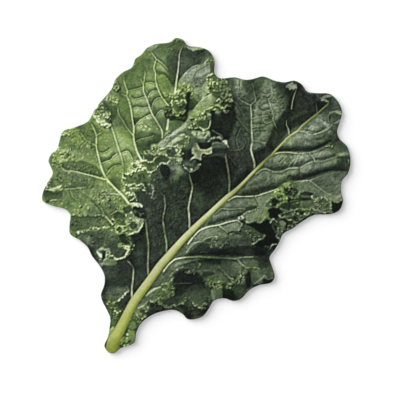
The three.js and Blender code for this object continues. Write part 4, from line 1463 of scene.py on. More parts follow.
# %% Crinkles on the left
LEFT_CRINKLES = """
glaze 74 1.5 .85 72,216 90,216 103,217 110,223 104,226 92,228 82,230.5 76,231 70,228
spray 98 2.5 .8 94,222 102,222
crest 150 2.5 50 69,214.5 74,214.5 80,215.3 86,214.7 92,214.7 98,215 103,215.5
glaze 68 1.5 .9 78,233 90,231 104,229 114,232 120,240 118,248 110,250 100,252 92,250 86,244 80,238
spray 112 2 .8 88,237 87,243
glaze 50 1.5 .8 79,237 85,241 92,250 98,260 96,262 90,254 84,246
crest 158 2 62 77,233 79,231.5 82,231 86,230.5 90,229 95,227.5 100,228 104,226.5 107,227.5 110,226.5
glaze 185 .6 .9 76,233.5 77,230.5 79,230.5 78.5,233.5
spray 112 1.6 .85 101,248 103,245 106,242
glaze 32 2 .9 129,234 138,233 144,224 145,240 146,262 136,270 130,262 132,250 134,246 133,240
glaze 42 2 .85 105,268 126,264 130,270 128,284 118,286 106,284 104,276
line 56 .8 .6 110,272 116,276 122,280 127,279
glaze 70 1.1 .9 113,213 118,211 123,213 125,217 122,218.5 116,219.5 113,217
knobs 92 14 .8 112,212 123,211 124,218 115,219
glaze 58 .9 .95 122,208 126,206 130,205.5 131.5,210 127,213 123.5,211
rim 148 1.1 .9 120.5,208.5 122,206.5 125,205 128,204.7 130.5,203.7
rim 146 1 .85 120.5,210.3 124,212 125.5,214 126,217 128,218.5
glaze 30 1 .95 133,206 141,207 147,212 146,217 141,218.3 137,217 133,213
glaze 84 .7 .8 133,210 136,210 136,212.5 134,213
rim 84 1 .9 134,211 137,210.5 139,212 140,215 138.5,218
line 74 .8 .8 140,214 143,213
glaze 200 .6 .95 131,202.5 134,202.3 137,203.5 141,204 142,206 141.5,207.5 139.5,205.8 137.5,207
  135,204.6 132,203.5
bead_row 215 1.1 8 131,203 136,203.3 140,204.5 142,206
glaze 112 .9 .95 128,213 132,214 136,217 141,218 143.5,219.3 142.5,223.5 140,227 138.5,230 137,232
  133,232.5 129,233
  127.5,229 131,228 129.5,220
spray 136 1.3 .8 130,217.5 134,219.5
glaze 54 .8 .95 130,223.5 132,221 136,222 137,225.5 134,228.5 130.5,228
spray 168 1.1 .85 136,219.8 139,221 141,222.5
spray 150 .9 .7 137,222.5 139.5,224
line 134 .9 .7 137,224 138.5,228
knobs 150 14 .8 129,214 136,218 142,220 140,227 130,219
line 206 1.7 .9 142.5,223 141,226 139,229.5 137,231.5 134,232 131,233.3 129,233.6
bead_row 225 1 12 142.5,223 141,226 139,229.5 137,231.5 134,232 130,233.5
glaze 74 .8 .9 115,221 118,219 122,219.5 125.5,221 125,225 120,224.5 116,224.5
glaze 74 .7 .9 117,228 119,226.8 121.5,228.5 120.5,231.5 118,231.5
rim 132 1 .85 114,222.5 115,220 118,218 121,219 124,219.5 126.5,221 126,224 127,226
glaze 156 .7 .85 124.5,219.7 127,220.5 127,223 125.3,223
glaze 160 .7 .85 118,225 120.5,224.5 122,226.5 122.5,228.5 120.5,227 118.5,226.7
rim 172 1.2 .9 115.5,229 116,227.5 117.5,226 120,225.7 122,227 123,229 121.5,232 119.5,233.7 117,231.7
  115.5,229
rim 176 1.3 .9 120,234 122,232 125,229.8 129,229 130.5,228.3
bead_row 196 1 14 116,228 118,225.5 122,227 123,229 120,233.8 117,231.5
bead_row 190 .9 7 122,232 125,229.8 129,229
rim 150 1 .85 112,223.7 114,222.6 116,223.5 118.5,224.6
glaze 118 .8 .8 125.5,224.5 128.5,224 129,228 126,228.5
glaze 88 1.4 .8 108,231 114,230.5 116,235 112,240 108,237
glaze 40 .9 .95 119,234.5 122,233.5 127,236 130,240 129.5,243 125,243.5 121,241.5 119,238
rim 108 1.1 .9 126,238 129,241 131,243 131.5,246
glaze 128 .7 .9 116.8,245 119,242.5 121,243 122,245.5 119,247.3
glaze 172 .6 .95 123,246 125,244.8 128,245 130.3,246.5 129,248.8 126,249 124,248
bead_row 205 1 8 123,245.5 126,246.5 129.5,246.5
bead_row 178 1 3 133.5,245 132,249.3
glaze 60 1 .95 111,247 116,247.5 122,248 126,250 125,254 121,256.5 116,256.7 112,254
knobs 84 14 .8 111,247 124,248 121,256 113,254
line 176 2.2 .9 128.5,249 127.5,251.3 126,254
line 186 1.5 .9 126,254 124,256.5 121,258 117,258.7 114.5,257.8
bead_row 198 1 12 128,250 126,254 124,256.5 121,258 117,258.7
rim 166 1.5 .9 109,255.5 112,255 114.8,257.3
glaze 130 .8 .9 106,251 107,248 109,248 110,252 109,256.5 106,257.5 105,254
knobs 150 8 .8 106,249 109,248 109,256 106,257
glaze 36 .8 .95 101.5,251 104.7,250.5 105,255 104.5,259 102,260
line 124 1.8 .85 97,250.3 101,247.7 104,249 107,248.7
glaze 180 .6 .95 96,251.5 98,251.3 99.3,253 101.3,253 101.7,257 99.5,257.3 98,254.7
glaze 92 1.3 .85 104,259 110,258 116,260.5 116,263.5 108,265 103,263
rim 152 1.1 .85 101,266 103,261 105,258.8 108,258.4
bead_row 165 1.1 4 88,207.3 88.5,208
bead_row 172 1 4 98.3,201.5 98.7,202.7
bead_row 165 1 4 108.7,205.5 109.5,207
rim 140 .9 .8 101,203 102.5,200 105,200 107,202 106,204.5 103,205
rim 150 .9 .8 107,194 108,196 107.5,198.3
spray 74 1.2 .6 106,198.5 110,200
spray 84 1.5 .6 99,206 106,208
spray 66 1.2 .5 90,199.5 94,202
knobs 118 10 .9 69,229 76,232 78,237 71,236
knobs 150 8 1 113,81 118,81 119,88 114,88
knobs 140 24 1.1 104,97 112,95 119,99 118,103 108,102
crest 160 1.5 84 105,99 109,98 112,100 115,101 118,103
knobs 165 26 1.2 94,104 102,104 108,112 110,118 100,114 94,114
knobs 205 12 1.1 98,112 109,114 110,119 103,117
crest 205 1.5 80 95,118 98,121.5 101,124 104,126 108,126.3 110,125
knobs 200 10 1.1 98,121 104,124 109,124 109,127 102,126
glaze 165 .6 .95 46.5,189.5 50,188 54,187 58,185.5 62,184.3 60,187 56,188.7 52,189.7
glaze 58 1.5 .85 45,191 52,191 60,190 62,195 56,198 46,198
crest 118 1.5 74 56,179 59,178 61,180 60.5,183
line 132 .9 .9 49,201 52,199.7 56,199.5
line 38 1.2 .9 46.5,201.5 48.5,201
ripen .62 6 .9 46,172 70,164 104,182 122,200 116,222 130,236 128,258 100,262 70,230 66,208 42,200
glaze 112 1.2 .85 60,131 68,129 78,127 79,131 76,134 66,137 60,137
knobs 158 16 1 60,132 70,130 79,128 78,132 66,136 60,136
line 158 .8 .8 59,136 62,134 66,133.3 70,131.3 73,131 76,129.8 79,130
line 140 .8 .7 72,139 75,137.5 78,138.5
glaze 132 1.4 .85 55,151 60,149 68,149 74,152 76,156 70,158 64,159 58,160 54,156
knobs 166 18 1.1 56,152 68,150 75,155 64,159
knobs 84 8 .8 58,153 70,153 66,157
knobs 150 10 .9 50,158 58,160 62,166 56,168 52,164
knobs 112 26 .8 56,172 100,180 104,186 62,187
knobs 92 22 .8 64,163 92,165 98,172 72,169
knobs 118 24 .8 64,136 92,128 94,148 74,148
glaze 112 1.2 .8 94,181 101,180.5 107,187 103,190 96,187
line 158 .8 .8 103,193 106,196 106.5,199
line 150 .8 .8 108,200 111,196.5 114,195.5
knobs 158 14 .9 102,190 108,192 112,200 104,204 100,196
knobs 92 30 .9 72,217 104,218 112,224 84,229 70,227
knobs 88 22 .9 78,233 112,230 114,240 96,250 86,243
line 112 .8 .7 84,247 88,244 92,245
ripen .3 1.5 .8 126,214 134,212 144,218 140,230 130,234 127,226
ripen .3 2 .8 147,50 150,44 158,44 157,48 152,51
ripen .3 2 .9 186,45 204,45 204,51 188,52
ripen .1 3 .9 78,233 104,230 118,235 117,246 128,250 126,258 112,258 104,266 92,256 84,246
ripen .9 3 .85 98,198 118,196 128,203 122,210 104,213 98,208
"""
paint(LEFT_CRINKLES)

# %% [markdown]
# ## Leaf skin
#
# A leaf is never even. Fine cells and soft grain go over everything painted so far, as a
# change in proportion to the shade, so that deep shade stays deep. The rib comes after this,
# because its skin is smooth.

# %% Skin over the painted leaves
skin_edge, skin_x, skin_y, skin_value = cells(BOARD, 301, 2.6, warp=0.8)
skin = 0.16 * np.clip(facing_light(skin_x, skin_y), -0.5, 0.5) + 0.10 * (skin_value - 0.5)
skin += 0.05 * np.exp(-((skin_edge / 0.45) ** 2)) - 0.02
skin += 0.045 * clouds(302, 0.5) + 0.035 * clouds(303, 0.9) + 0.035 * clouds(304, 1.8)
shade *= 1 + skin * (1 - 0.45 * np.clip(fresh, 0, 1))
shade += 0.12 * (shade - blur(shade, 5))
shade += 1.2 * clouds(305, 0.6)
print("skin changes the shade by", round(float(skin.std()), 3), "on average")

# %% [markdown]
# ## Dodging and burning
#
# Last we look at the whole print from afar. Where a patch is too dark we lighten it, and where
# it is too light we burn it in. The brush multiplies, so the crinkles inside stay. The burn
# patches that lie along the cut edge are painted shade: they darken the print where the mat's
# rounded edge lies in shade.

# %% Dodging and burning
DODGED = """
dodge 1.28 5 1 56,152 62,146 72,154 84,160 98,163 100,170 84,170 68,167 58,162
dodge 1.16 4 1 62,132 76,128 84,140 80,148 68,142
dodge 1.4 3 1 97,116 104,114 109,118 108,126 100,127 95,122
dodge .86 3 1 92,104 104,100 110,108 106,114 94,112
dodge 1.18 3 1 105,98 113,95 119,99 116,105 107,104
dodge .84 4 1 112,114 122,112 130,130 132,138 124,137 114,126
dodge 1.22 5 1 148,58 160,56 166,70 164,96 158,108 150,100 148,80
dodge 1.18 5 1 130,92 150,90 152,118 136,118
dodge 1.2 3 1 168,91 178,89 178,98 170,100
dodge .84 3 1 157,114 166,112 168,124 160,126
dodge .84 4 1 178,104 192,102 194,112 182,124 176,120
dodge 1.25 3 1 137,129 146,127 150,133 142,138
dodge 1.42 4 1 126,164 134,159 143,158 146,166 140,172 130,174
dodge 1.26 5 1 114,172 132,170 140,178 138,192 124,190 116,182
dodge 1.22 4 1 98,150 114,148 122,156 114,164 100,160
dodge 1.18 4 1 96,180 106,178 110,186 102,190
dodge 1.35 4 1 46,190 58,186 62,196 56,204 48,203
dodge 1.2 4 1 112,188 122,188 138,196 138,206 122,208 110,200
dodge 1.16 5 1 70,206 96,202 108,216 112,240 96,236 80,240 72,222
dodge 1.22 4 1 96,246 112,248 128,244 128,254 108,262 98,258
dodge 1.3 4 1 106,292 120,288 124,296 112,300
dodge 1.25 3 1 132,306 146,302 148,310 136,316
dodge 1.2 4 1 112,312 120,308 118,326 110,330
dodge 1.15 3 1 120,334 128,332 126,348 118,348
dodge .84 3 1 193,142 200,140 202,156 196,156
dodge .86 8 1 196,160 226,156 232,170 226,190 196,214 186,200
dodge .8 4 1 224,152 232,150 234,176 226,180
dodge .72 3 1 226,188 240,172 248,166 250,172 238,184 228,192
dodge 1.16 5 1 268,134 290,128 306,122 326,128 322,138 300,140 276,138
dodge 1.22 4 1 276,152 314,150 318,160 300,168 284,166
dodge .74 3 1 274,84 286,84 288,106 280,106
dodge .76 3 1 284,80 300,80 302,92 286,92
dodge .8 3 1 250,76 262,76 262,96 254,98
dodge .82 3 1 218,76 228,76 230,84 222,86
dodge .84 4 1 314,90 330,96 332,112 322,118 314,104
dodge .84 4 1 222,98 236,94 234,108 222,108
dodge .86 4 1 254,134 266,134 264,144 254,144
dodge .84 5 1 318,136 336,130 346,142 344,150 326,150 312,146
dodge .86 4 1 314,162 340,158 340,172 322,176
dodge 1.14 5 1 204,216 240,216 242,232 226,236 206,240
dodge .76 4 1 250,222 268,222 268,248 256,248
dodge .72 3 1 226,239 258,239 258,248 226,249
dodge .76 4 1 264,240 280,240 276,250 266,252
dodge .62 3 1 190,252 238,251 240,262 190,262
dodge .82 6 1 182,262 224,262 222,272 206,282 184,284
dodge 1.16 4 1 228,259 240,258 246,264 242,270 232,268
dodge .74 3 1 246,274 256,274 256,284 246,285
dodge .85 4 1 88,206 118,205 124,216 104,217 88,213
dodge .76 3 1 140,216 147,216 144,230 136,234 134,229
dodge 1.22 3 1 178,84 188,84 196,90 194,96 184,92
dodge 1.16 4 1 156,104 174,100 178,112 172,132 166,132 164,114
dodge 1.18 4 1 202,76 218,76 218,90 210,102 200,106 204,90
dodge 1.14 4 1 228,78 242,82 242,90 230,90
dodge 1.2 3 1 134,156 144,154 146,166 138,170
dodge 1.14 3 1 144,168 152,168 154,176 146,178
dodge 1.16 4 1 174,164 184,166 184,176 176,178
dodge 1.12 5 1 188,194 202,192 204,204 192,212
dodge 1.14 4 1 106,102 118,100 124,112 118,118 110,112
dodge 1.14 4 1 104,136 122,134 130,150 116,152
dodge 1.14 5 1 62,160 98,164 108,184 86,184 66,178
dodge .9 6 1 196,152 234,152 240,172 228,186 206,194
dodge .84 4 1 164,170 176,172 174,188 164,186
dodge .84 4 1 186,172 198,172 198,184 188,184
dodge .88 5 1 156,196 168,196 170,240 156,240
dodge .85 3 1 244,184 262,183 262,190 246,191
dodge .85 3 1 250,162 264,156 266,162 252,168
dodge .86 3 1 308,191 318,192 316,199 308,198
dodge .85 3 1 326,197 334,199 332,210 326,210
dodge .88 3 1 258,124 274,122 282,124 280,132 264,130
dodge 1.14 3 1 338,176 347,174 344,192 338,194
dodge .82 3 1 166,36 186,36 206,44 206,50 186,48 168,46
dodge .8 4 1 252,248 266,252 272,278 262,276 256,262
dodge .78 3 1 284,212 292,212 294,226 286,228
dodge .82 4 1 158,296 176,288 178,304 162,308
dodge .7 3 1 176,306 190,308 190,320 180,318
dodge .76 2.5 1 100,282 104,280 106,306 110,316 104,312 100,300
dodge .78 2.5 1 84,244 90,246 98,260 102,270 96,266 86,252
dodge .62 4 1 254,246 264,245 272,248 270,256 271,264 262,262 254,256
dodge .8 3 1 238,222 252,222 254,236 244,240
dodge .8 3 1 272,214 290,214 288,228 280,246 274,240
dodge .82 3 1 280,196 292,194 292,208 282,208
dodge .84 3 1 296,208 320,206 320,218 298,218
dodge .82 3 1 42,186 50,178 58,188 56,194 44,194
dodge .82 3 1 97,280 106,280 107,310 100,310
dodge .8 3 1 176,313 192,312 190,322 178,322
dodge .82 3 1 198,305 209,305 208,316 200,318
dodge .87 3 1 44,148 60,150 60,158 46,158
dodge .87 3 1 54,200 68,202 66,212 54,210
dodge .84 3 1 250,70 264,72 262,84 252,82
dodge .75 3 1 264,278 276,276 276,288 264,288
dodge .84 3 1 84,248 96,250 104,270 94,270
dodge .88 3 1 66,122 82,120 84,130 68,130
dodge .87 3 1 142,40 156,38 154,50 144,50
dodge .82 3 1 178,107 190,106 188,116 178,117
dodge .84 3 1 150,98 166,98 164,107 152,107
dodge .9 4 1 284,118 300,112 322,111 320,120 300,127 284,130
dodge .84 3 1 318,99 332,99 330,110 320,112
dodge .9 6 1 198,168 214,158 230,160 230,180 214,198 196,198
dodge .87 3 1 232,188 246,168 262,158 258,166 246,180 238,190
dodge .8 3 1 226,280 238,278 236,286 226,288
dodge .9 4 1 176,280 210,278 212,290 180,292
dodge .9 3 1 70,152 84,157 104,160 104,170 90,165 72,162
dodge 1.25 4 1 145,182 156,182 156,198 148,198
dodge 1.16 4 1 134,168 150,168 152,178 136,178
dodge 1.12 5 1 124,178 142,182 142,200 128,200
dodge 1.18 4 1 54,175 67,177 66,189 56,189
dodge 1.1 4 1 72,142 90,138 92,150 80,156
dodge 1.15 4 1 134,72 148,70 151,86 138,87
dodge 1.12 3 1 164,93 180,92 180,101 166,101
dodge 1.15 4 1 188,113 202,112 204,123 190,124
dodge 1.12 4 1 168,130 184,124 200,128 198,136 172,138
dodge 1.14 4 1 134,132 150,128 154,134 140,142
dodge 1.14 4 1 243,126 247,108 255,108 256,132 246,134
dodge 1.14 3 1 264,106 276,106 274,116 266,116
dodge 1.15 5 1 158,146 184,140 186,154 174,170 164,168
dodge 1.16 5 1 184,234 200,222 214,209 224,203 240,205 240,213 226,217 214,228 200,240 188,242
dodge 1.2 4 1 169,264 180,251 198,251 196,263 180,270 172,270
dodge 1.12 4 1 100,198 122,202 130,214 126,229 116,223 106,213
dodge 1.2 3 1 130,217 141,217 140,228 132,229
dodge 1.1 4 1 90,217 106,215 108,228 92,229
dodge 1.15 3 1 78,236 90,236 90,246 80,246
dodge 1.2 3 1 208,297 218,297 216,310 208,310
dodge 1.14 4 1 102,263 115,263 117,278 104,278
dodge 1.12 3 1 298,180 312,180 312,190 300,190
dodge 1.1 4 1 272,138 284,130 300,128 300,142 284,144
dodge 1.12 3 1 187,70 200,70 200,85 191,85
dodge 1.1 4 1 183,48 197,48 198,62 185,64
dodge 1.12 3 1 334,102 343,102 342,112 336,112
dodge .82 3 1 108,198 124,198 124,208 110,210
dodge .85 3 1 104,210 114,210 116,220 108,220
dodge .86 4 1 84,232 104,231 116,236 114,248 96,250 86,244
dodge .82 3 1 214,294 226,294 226,304 214,306
dodge .78 3 1 178,314 192,313 190,322 178,322
dodge .82 3 1 97,280 107,280 106,294 98,294
dodge .78 3 1 224,296 240,294 236,303 226,304
dodge .78 3 1 264,248 275,247 275,258 266,259
dodge .75 3 1 256,247 266,246 266,255 256,255
dodge .86 3 1 129,337 140,337 140,347 130,348
dodge .84 3 1 335,170 348,170 348,181 338,182
dodge .84 3 1 324,209 337,209 335,217 326,217
dodge .8 3 1 243,281 255,281 255,291 245,291
dodge .87 3 1 344,148 353,148 353,162 346,162
dodge .85 3 1 84,247 94,247 94,258 86,256
dodge .85 3 1 183,108 193,108 193,118 184,118
dodge .88 3 1 47,168 58,168 58,181 47,181
dodge .82 3 1 201,308 211,308 210,318 202,318
dodge 1.12 3 1 110,314 118,314 116,328 110,328
dodge .84 3 1 179,312 190,312 190,322 180,322
dodge .88 4 1 209,60 221,60 221,76 210,76
dodge .85 3 1 159,76 169,76 169,88 160,88
dodge .8 3 1 277,84 286,85 285,95 277,95
dodge .86 3 1 286,174 297,174 297,186 287,186
dodge .86 3 1 219,136 229,136 229,147 220,147
dodge 1.18 3 1 233,256 243,256 243,266 234,266
dodge .9 4 1 112,68 126,68 126,82 113,82
dodge .82 3 1 222,294 232,294 232,304 223,304
dodge .85 3 1 210,130 220,130 220,140 211,140
dodge 1.12 3 1 174,255 184,255 184,266 175,266
dodge .82 3 1 234,175 244,175 244,186 235,186
dodge 1.12 3 1 167,145 177,145 177,156 168,156
dodge .76 3 1 216,249 226,249 226,259 217,259
dodge .78 3 1 187,174 197,174 197,184 188,184
dodge .86 3 1 201,308 211,308 210,318 202,318
dodge .86 3 1 309,173 320,173 320,184 310,184
dodge .84 3 1 247,81 257,81 257,92 248,92
dodge 1.18 3 1 94,242 104,242 104,252 95,252
dodge 1.1 3 1 97,263 107,263 107,275 98,275
dodge 1.22 3 1 209,105 220,105 220,117 210,117
dodge 1.17 3 1 159,105 170,105 170,117 160,117
dodge 1.34 3 1 138,208 148,208 148,220 139,220
dodge 1.24 3 1 238,290 249,290 248,302 239,302
dodge 1.2 3 1 103,231 114,231 114,243 104,243
dodge .86 3 1 243,258 254,258 254,269 244,269
dodge .84 3 1 231,264 242,264 242,276 232,276
dodge 1.17 3 1 178,62 188,62 188,74 179,74
dodge 1.4 3 1 134,253 143,253 142,265 135,265
dodge 1.28 3 1 107,265 116,265 116,276 107,276
dodge .82 3 1 221,263 231,263 231,273 222,273
dodge 1.13 3 1 124,292 134,292 134,303 125,303
dodge 1.18 4 1 79,237 91,237 91,249 80,249
dodge 1.12 3 1 132,218 142,218 142,229 132,229
dodge 1.14 3 1 207,51 218,51 218,62 208,62
dodge 1.2 3 1 189,293 200,293 200,304 190,304
dodge 1.12 3 1 84,118 94,118 94,129 84,129
dodge 1.12 3 1 94,250 105,250 105,260 96,260
dodge 1.1 3 1 59,133 69,133 69,144 59,144
dodge 1.24 3 1 188,313 199,313 198,319 188,319
dodge 1.28 3 1 133,244 143,244 143,254 133,254
dodge 1.25 3 1 193,193 203,193 203,204 194,204
dodge .86 3 1 212,94 222,94 222,105 212,105
dodge .87 3 1 157,118 167,118 167,128 157,128
dodge .86 3 1 85,249 94,249 94,259 86,259
dodge .9 4 1 144,58 156,58 156,81 145,81
dodge .87 3 1 89,209 99,209 99,219 89,219
dodge 1.16 3 1 100,291 109,291 109,301 101,301
dodge 1.16 3 1 97,264 107,264 107,275 98,275
dodge 1.12 3 1 176,141 186,141 186,152 176,152
dodge 1.18 3 1 232,138 242,138 242,149 232,149
dodge .89 3 1 121,218 131,218 131,228 121,228
dodge 1.12 3 1 135,170 145,170 145,180 135,180
dodge 1.12 3 1 89,190 99,190 99,201 89,201
"""
paint(DODGED)

# %% [markdown]
# ## The rib
#
# The thick rib runs from the stalk at the lower left to the leaf's tip. It is round, so it is
# light along its upper left side and turns yellow-green and darker towards its lower right.
# Fine streaks run along it.

# %% Rib line, widths and shades
RIB_LINE = (
    "111.5,349 113.5,340 119,330 124,320 129,310 134.5,300 149.5,279.5 159.5,265.5 169,254.5 "
    "176.7,245.6 184,237.4 192.2,229.2 200.5,221 208.8,213.3 217.5,205 226.7,196.7 236,189 244.8,180.3 "
    "253.3,171.4 259.5,165.5 266.3,158.8 271,155 275.5,149.6 281.8,143 290,135.2 297.3,130.5 301,126 "
    "307,121 312,117 317,113 322,108.5 328,103"
)
RIB_WIDTHS = (
    13, 12, 10.5, 9.5, 9, 8.6, 8, 7.8, 7.6, 6.8, 6.3, 6.2, 5.4, 5, 4.8, 4.8,
    3.6, 3, 3, 3, 2.6, 2.5, 2.2, 2, 2, 1.8, 1.7, 1.6, 1.5, 1.3, 1.1, 0.8,
)
# Across the rib from its left edge (-1) to its right edge (1).
ACROSS = (-1.0, -0.75, -0.35, 0.1, 0.4, 0.7, 1.0)
ACROSS_SHADES = (160, 188, 192, 186, 168, 142, 116)
# Along the rib from the stalk (0) to the tip (1).
ALONG = (
    0, 0.04, 0.1, 0.22, 0.4, 0.52, 0.57, 0.62, 0.66, 0.69,
    0.72, 0.745, 0.765, 0.79, 0.82, 0.87, 0.9, 0.93, 1,
)
ALONG_FACTORS = (
    0.68, 0.9, 0.92, 0.95, 1, 1, 0.95, 0.77, 0.88, 0.9,
    0.72, 0.56, 0.56, 0.8, 0.88, 0.94, 0.77, 0.62, 0.56,
)
print("rib drawn through", len(RIB_WIDTHS), "points")

# %% Rib
rib_line = flow(trace(RIB_LINE))
rib_area, rib_gap, rib_place, rib_side = along(rib_line, 12)
rib_steps = np.hypot(*np.diff(rib_line, axis=0).T)
rib_walk = np.concatenate([[0], np.cumsum(rib_steps)]) / rib_steps.sum()
rib_index = np.linspace(0, len(RIB_WIDTHS) - 1, len(rib_line))
rib_width = np.interp(rib_index, np.arange(len(RIB_WIDTHS)), RIB_WIDTHS)
rib_half = np.interp(rib_place, rib_walk, rib_width) / 2
rib_across = rib_gap * rib_side / rib_half
beside = np.exp(-(((rib_gap - rib_half - 1.2) / 1.6) ** 2)) * (rib_side > 0) * 0.14
beside = beside + np.exp(-(((rib_gap - rib_half - 0.9) / 1.2) ** 2)) * (rib_side < 0) * 0.2
shade[rib_area] *= 1 - beside
rib_mask = 1 - ease(rib_half - 0.4, rib_half + 0.5, rib_gap)
rib_shade = np.interp(rib_across, ACROSS, ACROSS_SHADES)
rib_shade = rib_shade * np.interp(rib_place, ALONG, ALONG_FACTORS)
streaks = 2 * clouds(77, 0.7)[rib_area] + 2 * clouds(78, 2.0)[rib_area]
blend(shade, rib_area, rib_mask, rib_shade + streaks)
blend(pale, rib_area, rib_mask, 1)
sap[rib_area] = rib_mask * np.clip(ease(-0.2, 0.9, rib_across) + 1 - ease(0.05, 0.3, rib_place), 0, 1)
print("rib up to", round(float(rib_width.max()), 1), "units wide")

# %% [markdown]
# Before a picture is printed it is sharpened, so that its edges stay crisp in ink. We add back
# the difference between the picture and a blurred copy. A little cloudiness in `fresh` keeps
# the hue from being too even.

# %% Sharpen the artwork
SHARPEN = 0.8
SHARPEN_RADIUS = 1.1
DARKEST, LIGHTEST = 10, 245
shade += SHARPEN * (shade - blur(shade, SHARPEN_RADIUS))
np.clip(shade, DARKEST, LIGHTEST, out=shade)
fresh = np.clip(fresh + 0.16 * clouds(91, 9) + 0.08 * clouds(92, 3), 0, 1)
print("print shade from", round(float(shade.min())), "to", round(float(shade.max())))

# %% [markdown]
# ## The cut outline
#
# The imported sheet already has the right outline, so we read it from there rather than draw it
# twice. We copy the sheet's mesh, merge its doubled points, and walk round the edges between
# its flat underside and its side wall. A smooth line through those points gives a finer
# outline at the same place.

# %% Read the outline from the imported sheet
POINT_SPACING = 0.0010


def lower_ring(node):
    """The points round a solid's flat underside, in walking order, as x and y in metres."""
    shell = bmesh.new()
    shell.from_mesh(node.data)
    bmesh.ops.remove_doubles(shell, verts=shell.verts, dist=1e-5)
    low = min(v.co.z for v in shell.verts)
    bmesh.ops.dissolve_limit(shell, angle_limit=0.01, verts=shell.verts, edges=shell.edges)
    bottom = max((f for f in shell.faces if f.normal.z < -0.99), key=lambda f: f.calc_area())
    ring = np.array([loop.vert.co[:2] for loop in bottom.loops])
    print(node.name, "underside at", round(low, 4), "with", len(ring), "points")
    shell.free()
    return ring


def respaced(ring, spacing):
    """The same closed line with evenly spaced points."""
    smooth = flow(ring, 8, closed=True)
    steps = np.hypot(*(np.roll(smooth, -1, axis=0) - smooth).T)
    walk = np.concatenate([[0], np.cumsum(steps)])
    stops = np.linspace(0, walk[-1], int(walk[-1] / spacing), endpoint=False)
    looped = np.vstack([smooth, smooth[:1]])
    return np.stack([np.interp(stops, walk, looped[:, i]) for i in (0, 1)], 1)


outline = respaced(lower_ring(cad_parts["printed_face"]), POINT_SPACING)
following = np.roll(outline, -1, axis=0)
area_twice = np.sum(outline[:, 0] * following[:, 1] - outline[:, 1] * following[:, 0])
if area_twice < 0:
    outline = outline[::-1]
print("outline of", len(outline), "points, area", round(abs(area_twice) / 2, 4), "square metres")

# %% [markdown]
# ## The printed sheet
#
# A cut vinyl sheet has a soft rounded edge where the press has pushed it down. The outline is
# moved inwards ring by ring to follow that round. The flat top is diced into small squares so
# that each can carry its own ink, and the ragged gap between the squares and the ring is
# filled with triangles.

# %% Rings of the pressed edge
EDGE_INSET = 0.0014
EDGE_DROP = 0.0008
EDGE_STEPS = 5


def moved_in(ring, distance):
    """The ring moved inwards, evened out so that no points cross."""
    ahead, behind = np.roll(ring, -1, axis=0), np.roll(ring, 1, axis=0)
    run = ahead - behind
    run /= np.hypot(run[:, 0], run[:, 1])[:, None]
    inward = np.stack([-run[:, 1], run[:, 0]], 1)
    result = ring + inward * distance
    for _ in range(3):
        result = (np.roll(result, 1, axis=0) + 2 * result + np.roll(result, -1, axis=0)) / 4
    return result


turns = np.linspace(0, np.pi / 2, EDGE_STEPS)
edge_rings = []
for turn in turns:
    ring = moved_in(outline, EDGE_INSET * (1 - np.sin(turn))) if turn < turns[-1] else outline
    edge_rings.append((ring, TOP_HEIGHT - EDGE_DROP * (1 - np.cos(turn))))
edge_rings.append((outline, SEAM_HEIGHT))
print("pressed edge of", len(edge_rings), "rings")

# %% Dice the flat top
DICE = 0.00102
CLEARANCE = 1.15


def far_inside(points, ring, margin):
    """True for points inside a ring and at least a margin from its corners."""
    x, y = points[:, 0], points[:, 1]
    hit = np.zeros(len(points), bool)
    near = np.zeros(len(points), bool)
    for (ax, ay), (bx, by) in zip(ring, np.roll(ring, -1, axis=0)):
        if ay != by:
            hit ^= ((ay > y) != (by > y)) & (x < (bx - ax) * (y - ay) / (by - ay) + ax)
        near |= (x - ax) ** 2 + (y - ay) ** 2 < margin**2
    return hit & ~near


top_ring = edge_rings[0][0]
low_corner, high_corner = top_ring.min(0), top_ring.max(0)
counts = np.ceil((high_corner - low_corner) / DICE).astype(int)
sheet = bmesh.new()
bmesh.ops.create_grid(sheet, x_segments=int(counts[0]), y_segments=int(counts[1]), size=0.5)
bmesh.ops.scale(sheet, vec=(*(counts * DICE), 1), verts=sheet.verts)
centre = (low_corner + high_corner) / 2
bmesh.ops.translate(sheet, vec=(*centre, TOP_HEIGHT), verts=sheet.verts)
middles = np.array([f.calc_center_median()[:2] for f in sheet.faces])
kept = far_inside(middles, top_ring, DICE * CLEARANCE)
sheet.faces.ensure_lookup_table()
outside = [face for face, keep in zip(sheet.faces, kept) if not keep]
bmesh.ops.delete(sheet, geom=outside, context="FACES")
corners = [v for v in sheet.verts if sum(e.is_boundary for e in v.link_edges) > 2]
while corners:
    bmesh.ops.delete(sheet, geom=list({f for v in corners for f in v.link_faces}), context="FACES")
    corners = [v for v in sheet.verts if sum(e.is_boundary for e in v.link_edges) > 2]
print("top of", len(sheet.faces), "squares")

# %% Join the squares to the edge
ragged = [e for e in sheet.edges if e.is_boundary]
ring_verts = [sheet.verts.new((x, y, TOP_HEIGHT)) for x, y in top_ring]
ring_edges = [sheet.edges.new((a, b)) for a, b in zip(ring_verts, ring_verts[1:] + ring_verts[:1])]
bmesh.ops.triangle_fill(
    sheet, use_beauty=True, use_dissolve=False, edges=ragged + ring_edges, normal=(0, 0, 1)
)
for ring, height in edge_rings[1:]:
    grown = bmesh.ops.extrude_edge_only(sheet, edges=ring_edges)["geom"]
    ring_edges = [g for g in grown if isinstance(g, bmesh.types.BMEdge)]
    new_verts = [g for g in grown if isinstance(g, bmesh.types.BMVert)]
    order = {v: i for i, v in enumerate(ring_verts)}
    matched = {}
    for v in new_verts:
        for e in v.link_edges:
            if e.other_vert(v) in order:
                matched[order[e.other_vert(v)]] = v
    ring_verts = [matched[i] for i in range(len(ring))]
    for v, (x, y) in zip(ring_verts, ring):
        v.co = (x, y, height)
bmesh.ops.triangle_fill(
    sheet, use_beauty=False, use_dissolve=False, edges=ring_edges, normal=(0, 0, -1)
)
bmesh.ops.recalc_face_normals(sheet, faces=sheet.faces)
open_edges = sum(not e.is_manifold for e in sheet.edges)
print("sheet of", len(sheet.faces), "faces,", open_edges, "open edges")

